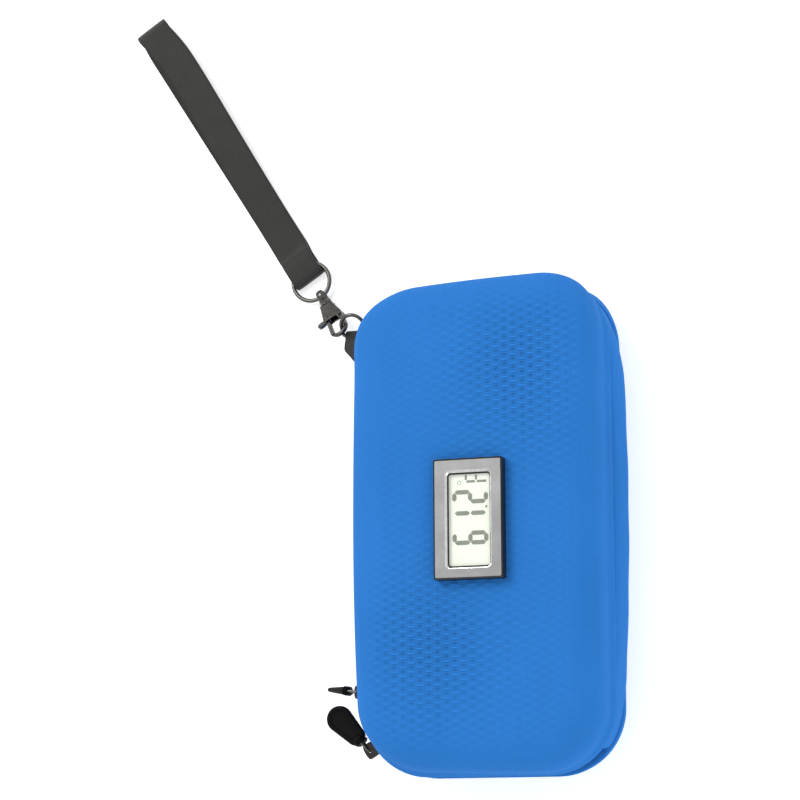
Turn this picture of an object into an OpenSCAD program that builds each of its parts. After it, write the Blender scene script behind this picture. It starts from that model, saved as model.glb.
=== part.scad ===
// Hard-shell zip travel case with a built-in temperature display and a wrist strap.
// Millimetres. +Z is the case's thickness, +X points to the fabric spine, +Y to the strap end.
// The origin is the centre of the back shell's flat rest face.

/* [Case] */
// overall width across the rims
case_w = 105; // [95:1:120]
// overall length across the rims
case_l = 200; // [180:1:220]
// thickness of the closed case
case_h = 56; // [50:1:64]
// corner radius of the rims
corner_r = 27.5; // [24:0.5:29]
// radius where the walls turn into the flat faces
edge_r = 14; // [10:1:16]
// shell wall thickness
wall_t = 3; // [2:0.5:4]
// foam lining thickness
liner_t = 3.45; // [2:0.05:5]
// outward bow of the long wall on the zip side
bow_x = 3.4; // [0:0.1:4]
// outward bow of the long wall on the spine side
bow_spine = 0.4; // [0:0.1:1]
// outward bow of the short walls
bow_y = 1.8; // [0:0.1:3]

/* [Temperature display] */
// bezel size along the case
bezel_l = 48; // [46:0.5:50]
// bezel size across the case
bezel_w = 28.6; // [26:0.1:30]
// height of the bezel over the front face
bezel_h = 5; // [3:0.5:6]

/* [Zip] */
// length of a slider body
slider_l = 10.4; // [9:0.1:11]
// angle of the lower slider round the corner arc
slider_b_deg = 210.5; // [206:0.5:215]

/* [Wrist strap] */
// webbing width
web_w = 15; // [12:0.5:20]
// webbing thickness
web_t = 1.1; // [0.8:0.1:1.6]
// length of the flattened loop
loop_l = 143.5; // [120:0.5:160]
// O-ring centreline radius
ring_r = 8.3; // [7:0.1:10]

/* [Hidden] */
$fn = 64;
gap = 0.05;
part_z = case_h / 2;
lip_z = part_z - 6;
core_i = edge_r + 2;
corner_c = [case_w / 2 - corner_r, case_l / 2 - corner_r];
tape_i = 3.05;
open_x = corner_c[0] + 22;
row_gap = 0.7;
row_h = 1.9;

blue = [0.16, 0.47, 0.80];
black = [0.07, 0.07, 0.07];
charcoal = [0.22, 0.22, 0.21];
grey = [0.55, 0.56, 0.57];
gunmetal = [0.35, 0.34, 0.33];

// ---------- shells as stacks of closed rings ----------

// one rounded-rectangle ring at inset i and height z, with the sides bowed by b;
// it starts in the middle of a corner, so that a fan from its first point has no flat triangle
function ring(i, z, b) =
    let (
        hx = case_w / 2 - i,
        hy = case_l / 2 - i,
        r = max(corner_r - i, 3),
        raw = concat(
            [for (k = [4:8]) [hx - r + r * cos(90 * k / 8), hy - r + r * sin(90 * k / 8)]],
            [for (k = [1:3]) [(hx - r) * (1 - k / 2), hy]],
            [for (k = [0:8]) [r - hx - r * sin(90 * k / 8), hy - r + r * cos(90 * k / 8)]],
            [for (k = [1:5]) [-hx, (hy - r) * (1 - k / 3)]],
            [for (k = [0:8]) [r - hx - r * cos(90 * k / 8), r - hy - r * sin(90 * k / 8)]],
            [for (k = [1:3]) [(r - hx) * (1 - k / 2), -hy]],
            [for (k = [0:8]) [hx - r + r * sin(90 * k / 8), r - hy - r * cos(90 * k / 8)]],
            [for (k = [1:5]) [hx, (r - hy) * (1 - k / 3)]],
            [for (k = [0:3]) [hx - r + r * cos(90 * k / 8), hy - r + r * sin(90 * k / 8)]]
        )
    )
    [for (p = raw)
        [p[0] + b * (p[0] < 0 ? -bow_x : bow_spine) * (1 - pow(p[1] / hy, 2)) * min(1, abs(p[0]) / (hx - r)),
         p[1] + b * bow_y * sign(p[1]) * (1 - pow(p[0] / hx, 2)) * min(1, abs(p[1]) / (hy - r)),
         z]];

// a closed skin through a list of rings, with a flat cap at each end
module ring_solid(rings) {
    n = len(rings[0]);
    m = len(rings);
    polyhedron(
        points = [for (r = rings) for (p = r) p],
        faces = concat(
            [[for (k = [0:n - 1]) k]],
            [[for (k = [n - 1:-1:0]) (m - 1) * n + k]],
            [for (j = [0:m - 2]) for (k = [0:n - 1])
                [j * n + k, (j + 1) * n + k, (j + 1) * n + (k + 1) % n]],
            [for (j = [0:m - 2]) for (k = [0:n - 1])
                [j * n + k, (j + 1) * n + (k + 1) % n, j * n + (k + 1) % n]]
        ),
        convexity = 6
    );
}

// rings up the turned edge and the wall, at radius r about the edge's centre
function edge_rings(r, steps) = [for (k = [0:steps])
    ring(core_i - r * sin(90 * k / steps), edge_r - r * cos(90 * k / steps), sin(90 * k / steps))];

function reverse(v) = [for (k = [len(v) - 1:-1:0]) v[k]];

// outer skin of one half, lying on its flat face, rim up
module half_shell() {
    ring_solid(concat(
        edge_rings(edge_r, 7),
        [ring(2, 18.2, 0.5), ring(1.9, 19.4, 0.2), ring(0.5, 19.9, 0), ring(0, 20.6, 0),
         ring(0.1, 21.5, 0), ring(0.7, lip_z, 0)],
        [ring(4.95, lip_z, 0), ring(5, 19.4, 0.2), ring(5, 18.2, 0.5)],
        reverse(edge_rings(edge_r - wall_t, 5))
    ));
}

// foam lining of one half
module half_liner() {
    ring_solid(concat(
        edge_rings(edge_r - wall_t - gap, 5),
        [ring(5.05, 18.2, 0.5), ring(5.05, 19.4, 0.2), ring(5.05, lip_z - 0.1, 0), ring(5.05, 24, 0)],
        [ring(5.05 + liner_t, 24, 0), ring(5.05 + liner_t, 19.4, 0.2), ring(5.05 + liner_t, 18.2, 0.5)],
        reverse(edge_rings(edge_r - wall_t - gap - liner_t, 5))
    ));
}

// turns a half over to become the front one
module front() {
    translate([0, 0, case_h])
        mirror([0, 0, 1])
            children();
}

// ---------- flat bands that follow the rim ----------

// rounded rectangle at inset i, with true arcs
module plan(i) {
    r = corner_r - i;
    square([case_w - 2 * i, 2 * corner_c[1]], center = true);
    square([2 * corner_c[0], case_l - 2 * i], center = true);
    for (sx = [-1, 1])
        for (sy = [-1, 1])
            translate([sx * corner_c[0], sy * corner_c[1]])
                circle(r);
}

// band between insets i0 and i1, from z0 to z1
module band(i0, i1, z0, z1) {
    translate([0, 0, z0])
        linear_extrude(z1 - z0)
            difference() {
                plan(i0);
                plan(i1);
            }
}

// the same band, left open along the spine
module open_band(i0, i1, z0, z1) {
    difference() {
        band(i0, i1, z0, z1);
        translate([open_x, -case_l, z0 - 1])
            cube([60, 2 * case_l, z1 - z0 + 2]);
    }
}

module half_binding() {
    band(tape_i + 0.85, 5, lip_z + gap, 24);
}

module half_tape() {
    open_band(tape_i, tape_i + 0.8, lip_z + gap, part_z - row_gap);
}

module half_teeth() {
    open_band(1.65, tape_i - gap, part_z - row_gap - row_h, part_z - row_gap);
}

// ---------- base ----------

module back_shell() {
    color(blue)
        half_shell();
}

module back_liner() {
    color(black)
        half_liner();
}

module back_binding() {
    color(black)
        half_binding();
}

module back_zip_tape() {
    color(blue)
        half_tape();
}

module back_zip_teeth() {
    color(black)
        half_teeth();
}

// stitched fabric stop over the end of the lower tooth row
module zip_stop(sy) {
    color(black)
        translate([0, 0, lip_z + gap])
            linear_extrude(part_z - row_gap - lip_z - gap)
                intersection() {
                    difference() {
                        plan(1.2);
                        plan(tape_i + 0.8);
                    }
                    translate([open_x + 2.1, sy * (corner_c[1] + 10)])
                        square([4, 8], center = true);
                }
}

module zip_stop_top() {
    zip_stop(1);
}

module zip_stop_bottom() {
    zip_stop(-1);
}

// fabric hinge along the straight of the right-hand side
module spine_panel() {
    color(blue)
        translate([case_w / 2 - 2.1, -corner_c[1], lip_z + gap])
            cube([1.3, 2 * corner_c[1], 2 * (part_z - lip_z - gap)]);
}

// elastic band sewn to the lining in three loops
module pen_loops() {
    r = 7.6;
    t = 0.7;
    floor_z = wall_t + gap + liner_t + gap;
    color(charcoal)
        translate([0, 26, floor_z])
            rotate([90, 0, 0])
                linear_extrude(20) {
                    for (k = [-1:1])
                        translate([k * 19, r + t])
                            difference() {
                                circle(r + t);
                                circle(r);
                            }
                    difference() {
                        translate([-30, 0])
                            square([60, 1.4]);
                        for (k = [-1:1])
                            translate([k * 19, r + t])
                                circle(r + 0.2);
                    }
                }
}

// ---------- tab and D-ring ----------

bar = [-63, 86.3, 15.7];
d_half = 5;
d_wire = 0.8;
tab_half = 3.7;
d_tilt = 38;
tab_mid = [-61.2, 74.8, 18.8];

module strap_tab() {
    color(charcoal)
        difference() {
            union() {
                translate([0, 0, lip_z + gap])
                    linear_extrude(2.2)
                        polygon([[-46, 67.5], [-54.5, 69.3], [-54.5, 80.6], [-46, 79.5]]);
                hull() {
                    translate([-54.6, 69.3, lip_z + gap])
                        cube([0.1, 11.3, 2.2]);
                    translate(tab_mid)
                        cube([1, 8.6, 2.2]);
                }
                hull() {
                    translate(tab_mid)
                        cube([1, 8.6, 2.2]);
                    translate([bar[0] - tab_half, bar[1] - 1.6, bar[2] - 1])
                        cube([2 * tab_half, 1, 2.2]);
                }
                translate([bar[0] - tab_half, bar[1], bar[2]])
                    rotate([0, 90, 0])
                        cylinder(r = 2, h = 2 * tab_half);
            }
            translate([bar[0] - 7, bar[1], bar[2]])
                rotate([0, 90, 0])
                    cylinder(r = d_wire + 0.08, h = 14);
            linear_extrude(part_z)
                plan(tape_i - gap);
        }
}

// a round wire bent through an arc of radius r, from angle a0 over a degrees
module wire_arc(r, w, a0, a) {
    rotate([0, 0, a0])
        rotate_extrude(angle = a)
            translate([r, 0])
                circle(w, $fn = 24);
}

// straight wire of radius w from p, along x or along y
module wire_x(p, w, len) {
    translate(p)
        rotate([0, 90, 0])
            cylinder(r = w, h = len, $fn = 24);
}

module wire_y(p, w, len) {
    translate(p)
        rotate([-90, 0, 0])
            cylinder(r = w, h = len, $fn = 24);
}

module d_ring() {
    bend = 1.2;
    side = 4.6;
    color(gunmetal)
        translate(bar)
            rotate([d_tilt, 0, 0]) {
                wire_x([bend - d_half, 0, 0], d_wire, 2 * (d_half - bend));
                translate([d_half - bend, bend, 0])
                    wire_arc(bend, d_wire, -90, 90);
                translate([bend - d_half, bend, 0])
                    wire_arc(bend, d_wire, 180, 90);
                wire_y([d_half, bend, 0], d_wire, side - bend);
                wire_y([-d_half, bend, 0], d_wire, side - bend);
                translate([0, side, 0])
                    wire_arc(d_half, d_wire, 0, 180);
            }
}

// ---------- clasp, in its own frame: x along it towards the hook, y across, z up ----------

hook_at = [1.25, 27.1];
arm_pt = bar + [-d_half, 4.2 * cos(d_tilt), 4.2 * sin(d_tilt)];
yaw_c = -53.7;
pitch_c = 34.1;

// unit vectors of the clasp's frame
ax = [cos(pitch_c) * cos(yaw_c), cos(pitch_c) * sin(yaw_c), sin(pitch_c)];
ay = [-sin(yaw_c), cos(yaw_c), 0];
az = cross(ax, ay);
eye_c = arm_pt - hook_at[1] * ax - hook_at[0] * ay;
ring_c = eye_c - 0.35 * ax - ring_r * [cos(yaw_c), sin(yaw_c), 0];

module clasp_frame() {
    multmatrix([
        [ax[0], ay[0], az[0], eye_c[0]],
        [ax[1], ay[1], az[1], eye_c[1]],
        [ax[2], ay[2], az[2], eye_c[2]],
        [0, 0, 0, 1]])
        children();
}

pivot = [16.8, -2.5];
claw_r = 3.5;
claw_c = 26.5;

module clasp_body() {
    color(gunmetal)
        clasp_frame()
            difference() {
                union() {
                    translate([4.1, 0, 0])
                        rotate([0, 90, 0])
                            cylinder(r = 2.5, h = 4.6);
                    translate([0, 0, -1.8])
                        linear_extrude(3.6)
                            polygon([[7.4, -2.8], [7.4, 2.8], [9, 3.1], [18.6, 4.8], [19.8, 4.5],
                                [20, 3], [19.2, 1.8], [18.6, 0], [18.6, -3.6], [17.6, -4.3], [9, -3.1]]);
                    wire_x([18.4, claw_r, 0], 1, claw_c - 18.4);
                    translate([claw_c, claw_r, 0])
                        sphere(1, $fn = 24);
                    translate([claw_c, 0, 0])
                        rotate([0, 0, -58])
                            rotate_extrude(angle = 148)
                                translate([claw_r, 0])
                                    circle(1, $fn = 24);
                }
                translate([3, 0, 0])
                    rotate([0, 90, 0])
                        cylinder(r = 1.26, h = 6);
                translate([8.6, -2.1, -3])
                    cube([1.6, 4.2, 6]);
                translate([pivot[0], pivot[1], -3])
                    cylinder(r = 0.55, h = 6, $fn = 24);
                translate([13.6, -9, -1.1])
                    cube([7, 9.4, 2.2]);
            }
}

module clasp_pin() {
    color(gunmetal)
        clasp_frame()
            translate([pivot[0], pivot[1], -2.1])
                cylinder(r = 0.54, h = 4.2, $fn = 24);
}

module clasp_gate() {
    color(gunmetal)
        clasp_frame()
            difference() {
                union() {
                    translate([pivot[0], pivot[1], -0.95])
                        cylinder(r = 1.5, h = 1.9, $fn = 40);
                    translate([0, 0, -0.95])
                        linear_extrude(1.9)
                            polygon([[16.2, -1.9], [18.0, -1.9], [27.2, -2.5], [27.6, -2.9], [27.6, -3.9],
                                [27.1, -4.35], [18.2, -3.7], [16.6, -3.5]]);
                    translate([0, 0, -0.95])
                        linear_extrude(1.9)
                            polygon([[15.8, -3.2], [18.0, -3.2], [17.9, -6.9], [17.3, -7.9], [16.2, -7.9],
                                [15.6, -6.9]]);
                }
                translate([pivot[0], pivot[1], -2])
                    cylinder(r = 0.6, h = 4, $fn = 24);
                translate([pivot[0], pivot[1], -0.4])
                    cylinder(r = 1.15, h = 0.8, $fn = 40);
                translate([pivot[0] - 3.3, pivot[1] + 0.1, -0.4])
                    cube([3.4, 2.2, 0.8]);
            }
}

// torsion spring wound on the pin, its free leg against the body
module gate_spring() {
    color(grey)
        clasp_frame()
            translate([pivot[0], pivot[1], 0]) {
                for (z = [-0.2, 0, 0.2])
                    translate([0, 0, z])
                        rotate_extrude()
                            translate([0.85, 0])
                                circle(0.15, $fn = 16);
                translate([-2.9, 0.85, 0])
                    rotate([0, 90, 0])
                        cylinder(r = 0.15, h = 2.9, $fn = 16);
            }
}

module swivel_eye() {
    color(gunmetal)
        clasp_frame() {
            rotate([90, 0, 0])
                rotate_extrude()
                    translate([2.25, 0])
                        circle(0.75, $fn = 24);
            difference() {
                translate([1.6, 0, 0])
                    rotate([0, 90, 0])
                        cylinder(r = 1.2, h = 8.1);
                rotate([90, 0, 0])
                    translate([0, 0, -3])
                        cylinder(r = 2, h = 6);
            }
            translate([8.75, 0, 0])
                rotate([0, 90, 0])
                    cylinder(r = 1.8, h = 1);
        }
}

// ---------- ring and webbing loop ----------

module o_ring() {
    color(gunmetal)
        translate(ring_c)
            rotate_extrude()
                translate([ring_r, 0])
                    circle(0.9, $fn = 24);
}

strap_dir = 122.4;
// stations round the loop: distance from the ring, height, sideways drift, width
path = concat(
    [for (d = [2.1, 5, 9, 12.5]) [d, 0.55, 0, 14]],
    [for (d = [17, 24, 34, 46, 60, 76, 92, 108, 122, 132]) [d, 0.55, 0, web_w]],
    [for (a = [-90:22.5:90]) [loop_l - 5.0 + 4.1 * cos(a), 4.65 + 4.1 * sin(a), 0.8 + 0.5 * sin(a), web_w]],
    [[131, 8.9, 2.6, web_w], [122, 8.9, 3.5, web_w], [108, 8.7, 3.5, web_w], [92, 8.4, 3.0, web_w],
     [76, 7.4, 2.3, web_w], [60, 5.6, 1.5, web_w], [46, 3.6, 0.8, web_w], [34, 2.2, 0.3, web_w],
     [24, 1.75, 0.1, web_w], [17, 2.2, 0, web_w], [13, 4.0, 0, 14.2], [10, 5.0, 0, 14], [5, 5.05, 0, 14],
     [2.9, 4.9, 0, 14], [1.5, 4.2, 0, 14], [0.95, 2.8, 0, 14], [1.2, 1.3, 0, 14]]
);

// band corners at station k
function strap_pts(k) =
    let (
        n = len(path),
        p = path[k],
        a = path[(k + n - 1) % n],
        b = path[(k + 1) % n],
        l = norm([b[0] - a[0], b[1] - a[1]]),
        nx = -(b[1] - a[1]) / l * web_t / 2,
        nz = (b[0] - a[0]) / l * web_t / 2,
        e = p[3] / 2
    )
    [[p[0] + nx, p[2] - e, p[1] + nz], [p[0] + nx, p[2] + e, p[1] + nz],
     [p[0] - nx, p[2] + e, p[1] - nz], [p[0] - nx, p[2] - e, p[1] - nz]];

module wrist_strap() {
    n = len(path);
    color(charcoal)
        translate([ring_c[0], ring_c[1], 0])
            rotate([0, 0, strap_dir])
                mirror([0, 1, 0])
                    polyhedron(
                        points = [for (k = [0:n - 1]) for (p = strap_pts(k)) p],
                        faces = concat(
                            [for (k = [0:n - 1]) for (j = [0:3])
                                [4 * k + j, 4 * ((k + 1) % n) + (j + 1) % 4, 4 * ((k + 1) % n) + j]],
                            [for (k = [0:n - 1]) for (j = [0:3])
                                [4 * k + j, 4 * k + (j + 1) % 4, 4 * ((k + 1) % n) + (j + 1) % 4]]
                        ),
                        convexity = 6
                    );
}

// ---------- zip sliders ----------

bail_out = 6.5;
pin_out = 4.3;
link_l = 5.6;

// section of a slider in the plane across the zip: x outward, y up
module slider_plates() {
    translate([-1.2, -3.5])
        square([1.4, 7]);
    translate([-5.4, -3.3])
        square([1.1, 6.6]);
}

module slider_post() {
    translate([-4.6, -0.6])
        square([3.6, 1.2]);
}

module bail_solid() {
    translate([0.1, -0.85])
        square([bail_out, 1.7]);
}

module bail_window() {
    translate([1.4, -2])
        square([bail_out - 2.6, 4]);
}

slider_a_y = -64.85;

// straight slider: the section pulled along the zip
module along(len) {
    translate([-case_w / 2, slider_a_y + len / 2, part_z])
        rotate([90, 0, 0])
            linear_extrude(len)
                mirror([1, 0])
                    children();
}

module slider_a() {
    color(gunmetal) {
        along(slider_l)
            slider_plates();
        along(4)
            slider_post();
        difference() {
            along(6.4)
                bail_solid();
            along(3.8)
                bail_window();
        }
    }
}

// curved slider: the section turned round the corner arc, for a length along it
module around(len) {
    a = len / 2 / corner_r * 180 / PI;
    translate([-corner_c[0], -corner_c[1], part_z])
        rotate([0, 0, slider_b_deg - a])
            rotate_extrude(angle = 2 * a)
                translate([corner_r, 0])
                    children();
}

module slider_b() {
    color(gunmetal) {
        around(slider_l)
            slider_plates();
        around(4.2)
            slider_post();
        difference() {
            around(5.6)
                bail_solid();
            around(3.2)
                bail_window();
        }
    }
}

// wire link through the bail, x along the pull, pin on the z axis
module link(len) {
    color(gunmetal) {
        translate([0, 0, -2.05])
            cylinder(r = 0.55, h = 4.1, $fn = 24);
        for (s = [-1, 1])
            translate([0, 0, 2.05 * s]) {
                sphere(0.55, $fn = 24);
                rotate([0, 90, 0])
                    cylinder(r = 0.55, h = len, $fn = 24);
            }
    }
}

pin_a = [-case_w / 2 - pin_out, slider_a_y, part_z];
pin_b = [-corner_c[0] + (corner_r + pin_out) * cos(slider_b_deg),
    -corner_c[1] + (corner_r + pin_out) * sin(slider_b_deg), part_z];
droop_link = 8;
droop_pull = 58;
pull_a_deg = 173;
pull_b_deg = 135;

module link_a() {
    translate(pin_a)
        rotate([0, droop_link, pull_a_deg])
            link(link_l);
}

module link_b() {
    translate(pin_b)
        rotate([0, 0, pull_b_deg])
            link(link_l);
}

// moulded rubber teardrop lying in x, with its neck at the origin
module teardrop() {
    translate([0, 0, -1.7])
        linear_extrude(3.4)
            hull() {
                translate([2, 0])
                    circle(2.8, $fn = 40);
                translate([12.6, 0])
                    circle(5.3, $fn = 64);
            }
}

module pull_a() {
    color(black)
        translate(pin_a)
            rotate([0, droop_link, pull_a_deg])
                difference() {
                    union() {
                        translate([link_l + 0.3, 0, 0])
                            rotate([0, droop_pull - droop_link, 0])
                                rotate([90, 0, 0])
                                    teardrop();
                        translate([link_l + 0.1, 0, 0])
                            cube([2.8, 3.2, 6], center = true);
                    }
                    for (s = [-1, 1])
                        translate([0, 0, 2.05 * s])
                            rotate([0, 90, 0])
                                cylinder(r = 0.56, h = link_l + 0.05, $fn = 24);
                }
}

module pull_b() {
    color(black)
        translate(pin_b)
            rotate([0, 0, pull_b_deg])
                difference() {
                    union() {
                        translate([link_l + 0.3, 0, 0])
                            teardrop();
                        translate([link_l + 0.1, 0, 0])
                            cube([2.8, 4.6, 6], center = true);
                    }
                    for (s = [-1, 1])
                        translate([0, 0, 2.05 * s])
                            rotate([0, 90, 0])
                                cylinder(r = 0.56, h = link_l + 0.05, $fn = 24);
                }
}

// ---------- lid ----------

cut_w = 26.6;
cut_l = 46.2;
top = case_h + bezel_h;

module front_shell() {
    color(blue)
        difference() {
            front()
                half_shell();
            translate([-cut_w / 2, -cut_l / 2, case_h - 8])
                cube([cut_w, cut_l, 12]);
        }
}

module front_liner() {
    color(black)
        difference() {
            front()
                half_liner();
            translate([-17, -26.5, case_h - 14])
                cube([34, 53, 14]);
        }
}

module front_binding() {
    color(black)
        front()
            half_binding();
}

module front_zip_tape() {
    color(blue)
        front()
            half_tape();
}

module front_zip_teeth() {
    color(black)
        front()
            half_teeth();
}

pocket_z = 33.2;

module mesh_pocket() {
    color(charcoal)
        translate([0, 0, pocket_z])
            linear_extrude(0.6)
                intersection() {
                    plan(5.05 + liner_t + gap);
                    translate([-60, -120])
                        square([120, 140]);
                }
}

module pocket_hem() {
    color(black)
        translate([-case_w / 2 + 8.8, 20.05, pocket_z - 0.4])
            cube([case_w - 17.6, 5, 1.4]);
}

// ---------- temperature display ----------

module rrect(l, w, r) {
    square([w - 2 * r, l], center = true);
    square([w, l - 2 * r], center = true);
    for (sx = [-1, 1])
        for (sy = [-1, 1])
            translate([sx * (w / 2 - r), sy * (l / 2 - r)])
                circle(r, $fn = 32);
}

module slab(z0, z1) {
    translate([0, 0, z0])
        linear_extrude(z1 - z0)
            children();
}

module thermo_housing() {
    color(black)
        difference() {
            union() {
                slab(case_h + gap, top - 0.8)
                    rrect(bezel_l, bezel_w, 1.6);
                slab(43.2, case_h + gap)
                    rrect(45.8, 26.2, 1);
            }
            slab(45.2, 57.9)
                rrect(42.8, 23.4, 0.8);
            slab(57.8, top)
                rrect(41.2, 22, 2);
            slab(42, 46)
                translate([0, 2.05])
                    square([13.2, 31.1], center = true);
            slab(44.3, 46)
                translate([0, 4])
                    square([15.6, 38], center = true);
            translate([0, -19.6, 42])
                cylinder(r = 1.6, h = 5);
        }
}

module thermo_face() {
    color(grey)
        difference() {
            slab(top - 0.75, top)
                rrect(bezel_l - 1, bezel_w - 1, 1.4);
            slab(top - 2, top + 1)
                rrect(39.6, 20.5, 2);
        }
}

module thermo_lens() {
    color([0.85, 0.9, 0.9, 0.4])
        slab(top - 1.8, top - 0.85)
            rrect(41, 21.8, 1.9);
}

module thermo_lcd() {
    color([0.80, 0.83, 0.76])
        slab(57.2, 58.9)
            rrect(38.6, 19.6, 0.6);
}

// seven-segment strokes for one figure, 9.5 wide and 15.5 tall, foot at the origin
stroke = 1.7;
module figure(segs) {
    w = 8.6;
    h = 15.5;
    for (s = segs) {
        if (s == 0)
            polygon([[0.3, h], [w - 0.3, h], [w - stroke, h - stroke], [stroke, h - stroke]]);
        if (s == 1)
            polygon([[w, h - 0.4], [w, h / 2 + 0.3], [w - stroke, h / 2 + 1], [w - stroke, h - stroke - 0.3]]);
        if (s == 2)
            polygon([[w, h / 2 - 0.3], [w, 0.4], [w - stroke, stroke + 0.3], [w - stroke, h / 2 - 1]]);
        if (s == 3)
            polygon([[0.3, 0], [stroke, stroke], [w - stroke, stroke], [w - 0.3, 0]]);
        if (s == 4)
            polygon([[0, 0.4], [0, h / 2 - 0.3], [stroke, h / 2 - 1], [stroke, stroke + 0.3]]);
        if (s == 5)
            polygon([[0, h / 2 + 0.3], [0, h - 0.4], [stroke, h - stroke - 0.3], [stroke, h / 2 + 1]]);
        if (s == 6)
            polygon([[0.6, h / 2], [1.4, h / 2 + stroke / 2], [w - 1.4, h / 2 + stroke / 2], [w - 0.6, h / 2],
                [w - 1.4, h / 2 - stroke / 2], [1.4, h / 2 - stroke / 2]]);
    }
}

module thermo_digits() {
    color([0.3, 0.32, 0.3])
        translate([0, 0, 58.92])
            rotate([0, 0, 90])
                linear_extrude(0.16) {
                    translate([-17, -7.7])
                        figure([0, 2, 3, 4, 5, 6]);
                    translate([-11.6, -7.7])
                        figure([1, 2]);
                    translate([-1.2, -7.7])
                        square([1.7, 1.7]);
                    translate([1.7, -7.7])
                        figure([0, 1, 3, 4, 6]);
                    translate([11.6, -7.2]) {
                        square([1.1, 9]);
                        translate([0, 7.9])
                            square([5, 1.1]);
                        translate([0, 4])
                            square([4, 1.1]);
                    }
                    translate([12, 4.4])
                        difference() {
                            square([3, 3]);
                            translate([0.9, 0.9])
                                square([1.2, 1.2]);
                        }
                }
}

module thermo_zebra() {
    color(charcoal)
        slab(54.65, 57.15)
            translate([-8.6, 0])
                square([1.8, 36], center = true);
}

module thermo_pcb() {
    color([0.1, 0.35, 0.2])
        slab(53.4, 54.6)
            rrect(42, 22.6, 0.6);
}

module thermo_chip() {
    color(black)
        translate([3, 0, 54.65])
            cylinder(r1 = 4, r2 = 2.6, h = 1.4);
}

module cell(y) {
    color([0.75, 0.76, 0.78])
        translate([0, y, 46.5])
            difference() {
                union() {
                    cylinder(r = 5.8, h = 4.6);
                    translate([0, 0, 4.6])
                        cylinder(r = 4.6, h = 0.8);
                }
                translate([0, 0, -1])
                    cylinder(r = 2.4, h = 1.2);
            }
}

module cell_a() {
    cell(-6.4);
}

module cell_b() {
    cell(6.4);
}

// bent spring strips between the cells and the board
module cell_contacts() {
    color([0.8, 0.75, 0.55])
        for (y = [-6.4, 6.4])
            translate([-3, y - 2, 51.95])
                difference() {
                    cube([6, 4, 1.4]);
                    translate([1, -1, 0.35])
                        cube([6, 6, 0.7]);
                }
}

module thermo_sensor() {
    color([0.7, 0.71, 0.72])
        translate([0, -19.6, 36.4]) {
            cylinder(r = 2.4, h = 6.75);
            cylinder(r = 1.5, h = 9.6);
        }
}

module clip(s) {
    color(black)
        translate([0, 5, 0])
            rotate([90, 0, 0])
                linear_extrude(10)
                    polygon([[s * 13.15, 47], [s * 14.2, 47], [s * 16.2, 51.6], [s * 16.2, 52.4], [s * 13.15, 52.4]]);
}

module clip_left() {
    clip(-1);
}

module clip_right() {
    clip(1);
}

module battery_door() {
    color(charcoal)
        difference() {
            union() {
                slab(43.2, 44.4)
                    square([13.1, 26.9], center = true);
                slab(44.4, 45.1)
                    square([15.4, 26.9], center = true);
            }
            for (k = [-2:2])
                translate([-4, 9 + k * 1.2, 43.1])
                    cube([8, 0.6, 0.5]);
        }
}

back_shell();
back_liner();
back_binding();
back_zip_tape();
back_zip_teeth();
zip_stop_top();
zip_stop_bottom();
spine_panel();
pen_loops();
strap_tab();
front_shell();
front_liner();
front_binding();
front_zip_tape();
front_zip_teeth();
mesh_pocket();
pocket_hem();
thermo_housing();
thermo_face();
thermo_lens();
thermo_lcd();
thermo_digits();
thermo_zebra();
thermo_pcb();
thermo_chip();
cell_a();
cell_b();
cell_contacts();
thermo_sensor();
clip_left();
clip_right();
battery_door();
slider_a();
link_a();
pull_a();
slider_b();
link_b();
pull_b();
d_ring();
clasp_body();
clasp_pin();
clasp_gate();
gate_spring();
swivel_eye();
o_ring();
wrist_strap();
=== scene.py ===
"""Visual model of the zip travel case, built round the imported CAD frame.

Lengths are millimetres until mesh_obj() turns them into metres.
"""

import math

import bpy
import bmesh
import numpy as np
from mathutils import Matrix, Vector


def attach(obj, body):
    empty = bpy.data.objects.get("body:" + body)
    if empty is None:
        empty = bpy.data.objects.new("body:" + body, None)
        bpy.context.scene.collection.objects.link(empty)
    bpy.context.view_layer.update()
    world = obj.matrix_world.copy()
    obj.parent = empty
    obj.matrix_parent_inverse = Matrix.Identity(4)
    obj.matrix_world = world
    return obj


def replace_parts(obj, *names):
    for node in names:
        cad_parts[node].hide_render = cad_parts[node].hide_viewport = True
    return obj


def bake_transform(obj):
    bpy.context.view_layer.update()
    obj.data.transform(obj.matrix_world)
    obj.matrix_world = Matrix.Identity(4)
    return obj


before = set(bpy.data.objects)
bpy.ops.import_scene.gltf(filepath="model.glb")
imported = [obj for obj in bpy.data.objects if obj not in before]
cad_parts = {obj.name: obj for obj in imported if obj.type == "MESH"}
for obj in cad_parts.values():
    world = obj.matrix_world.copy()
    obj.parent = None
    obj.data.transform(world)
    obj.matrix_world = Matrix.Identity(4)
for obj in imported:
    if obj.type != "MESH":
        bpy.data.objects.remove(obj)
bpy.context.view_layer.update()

MM = 0.001
PI = math.pi

# ---------------------------------------------------------------- sizes, as in the CAD

CASE_W, CASE_L, CASE_H = 105.0, 200.0, 56.0
CORNER_R, EDGE_R = 27.5, 14.0
BOW_ZIP, BOW_SPINE, BOW_Y = 3.4, 0.4, 1.8
PART_Z = 28.0
CORNER_C = (CASE_W / 2 - CORNER_R, CASE_L / 2 - CORNER_R)
CORE_I = EDGE_R + 2
LINER_T = 3.45
OPEN_X = CORNER_C[0] + 22
BAR = np.array([-63.0, 86.3, 15.7])
D_HALF, D_TILT = 5.0, math.radians(38)
BAIL_OUT, PIN_OUT, LINK_L = 6.5, 4.3, 5.6
STRAP_DIR = math.radians(122.4)


# ---------------------------------------------------------------- meshes

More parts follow.
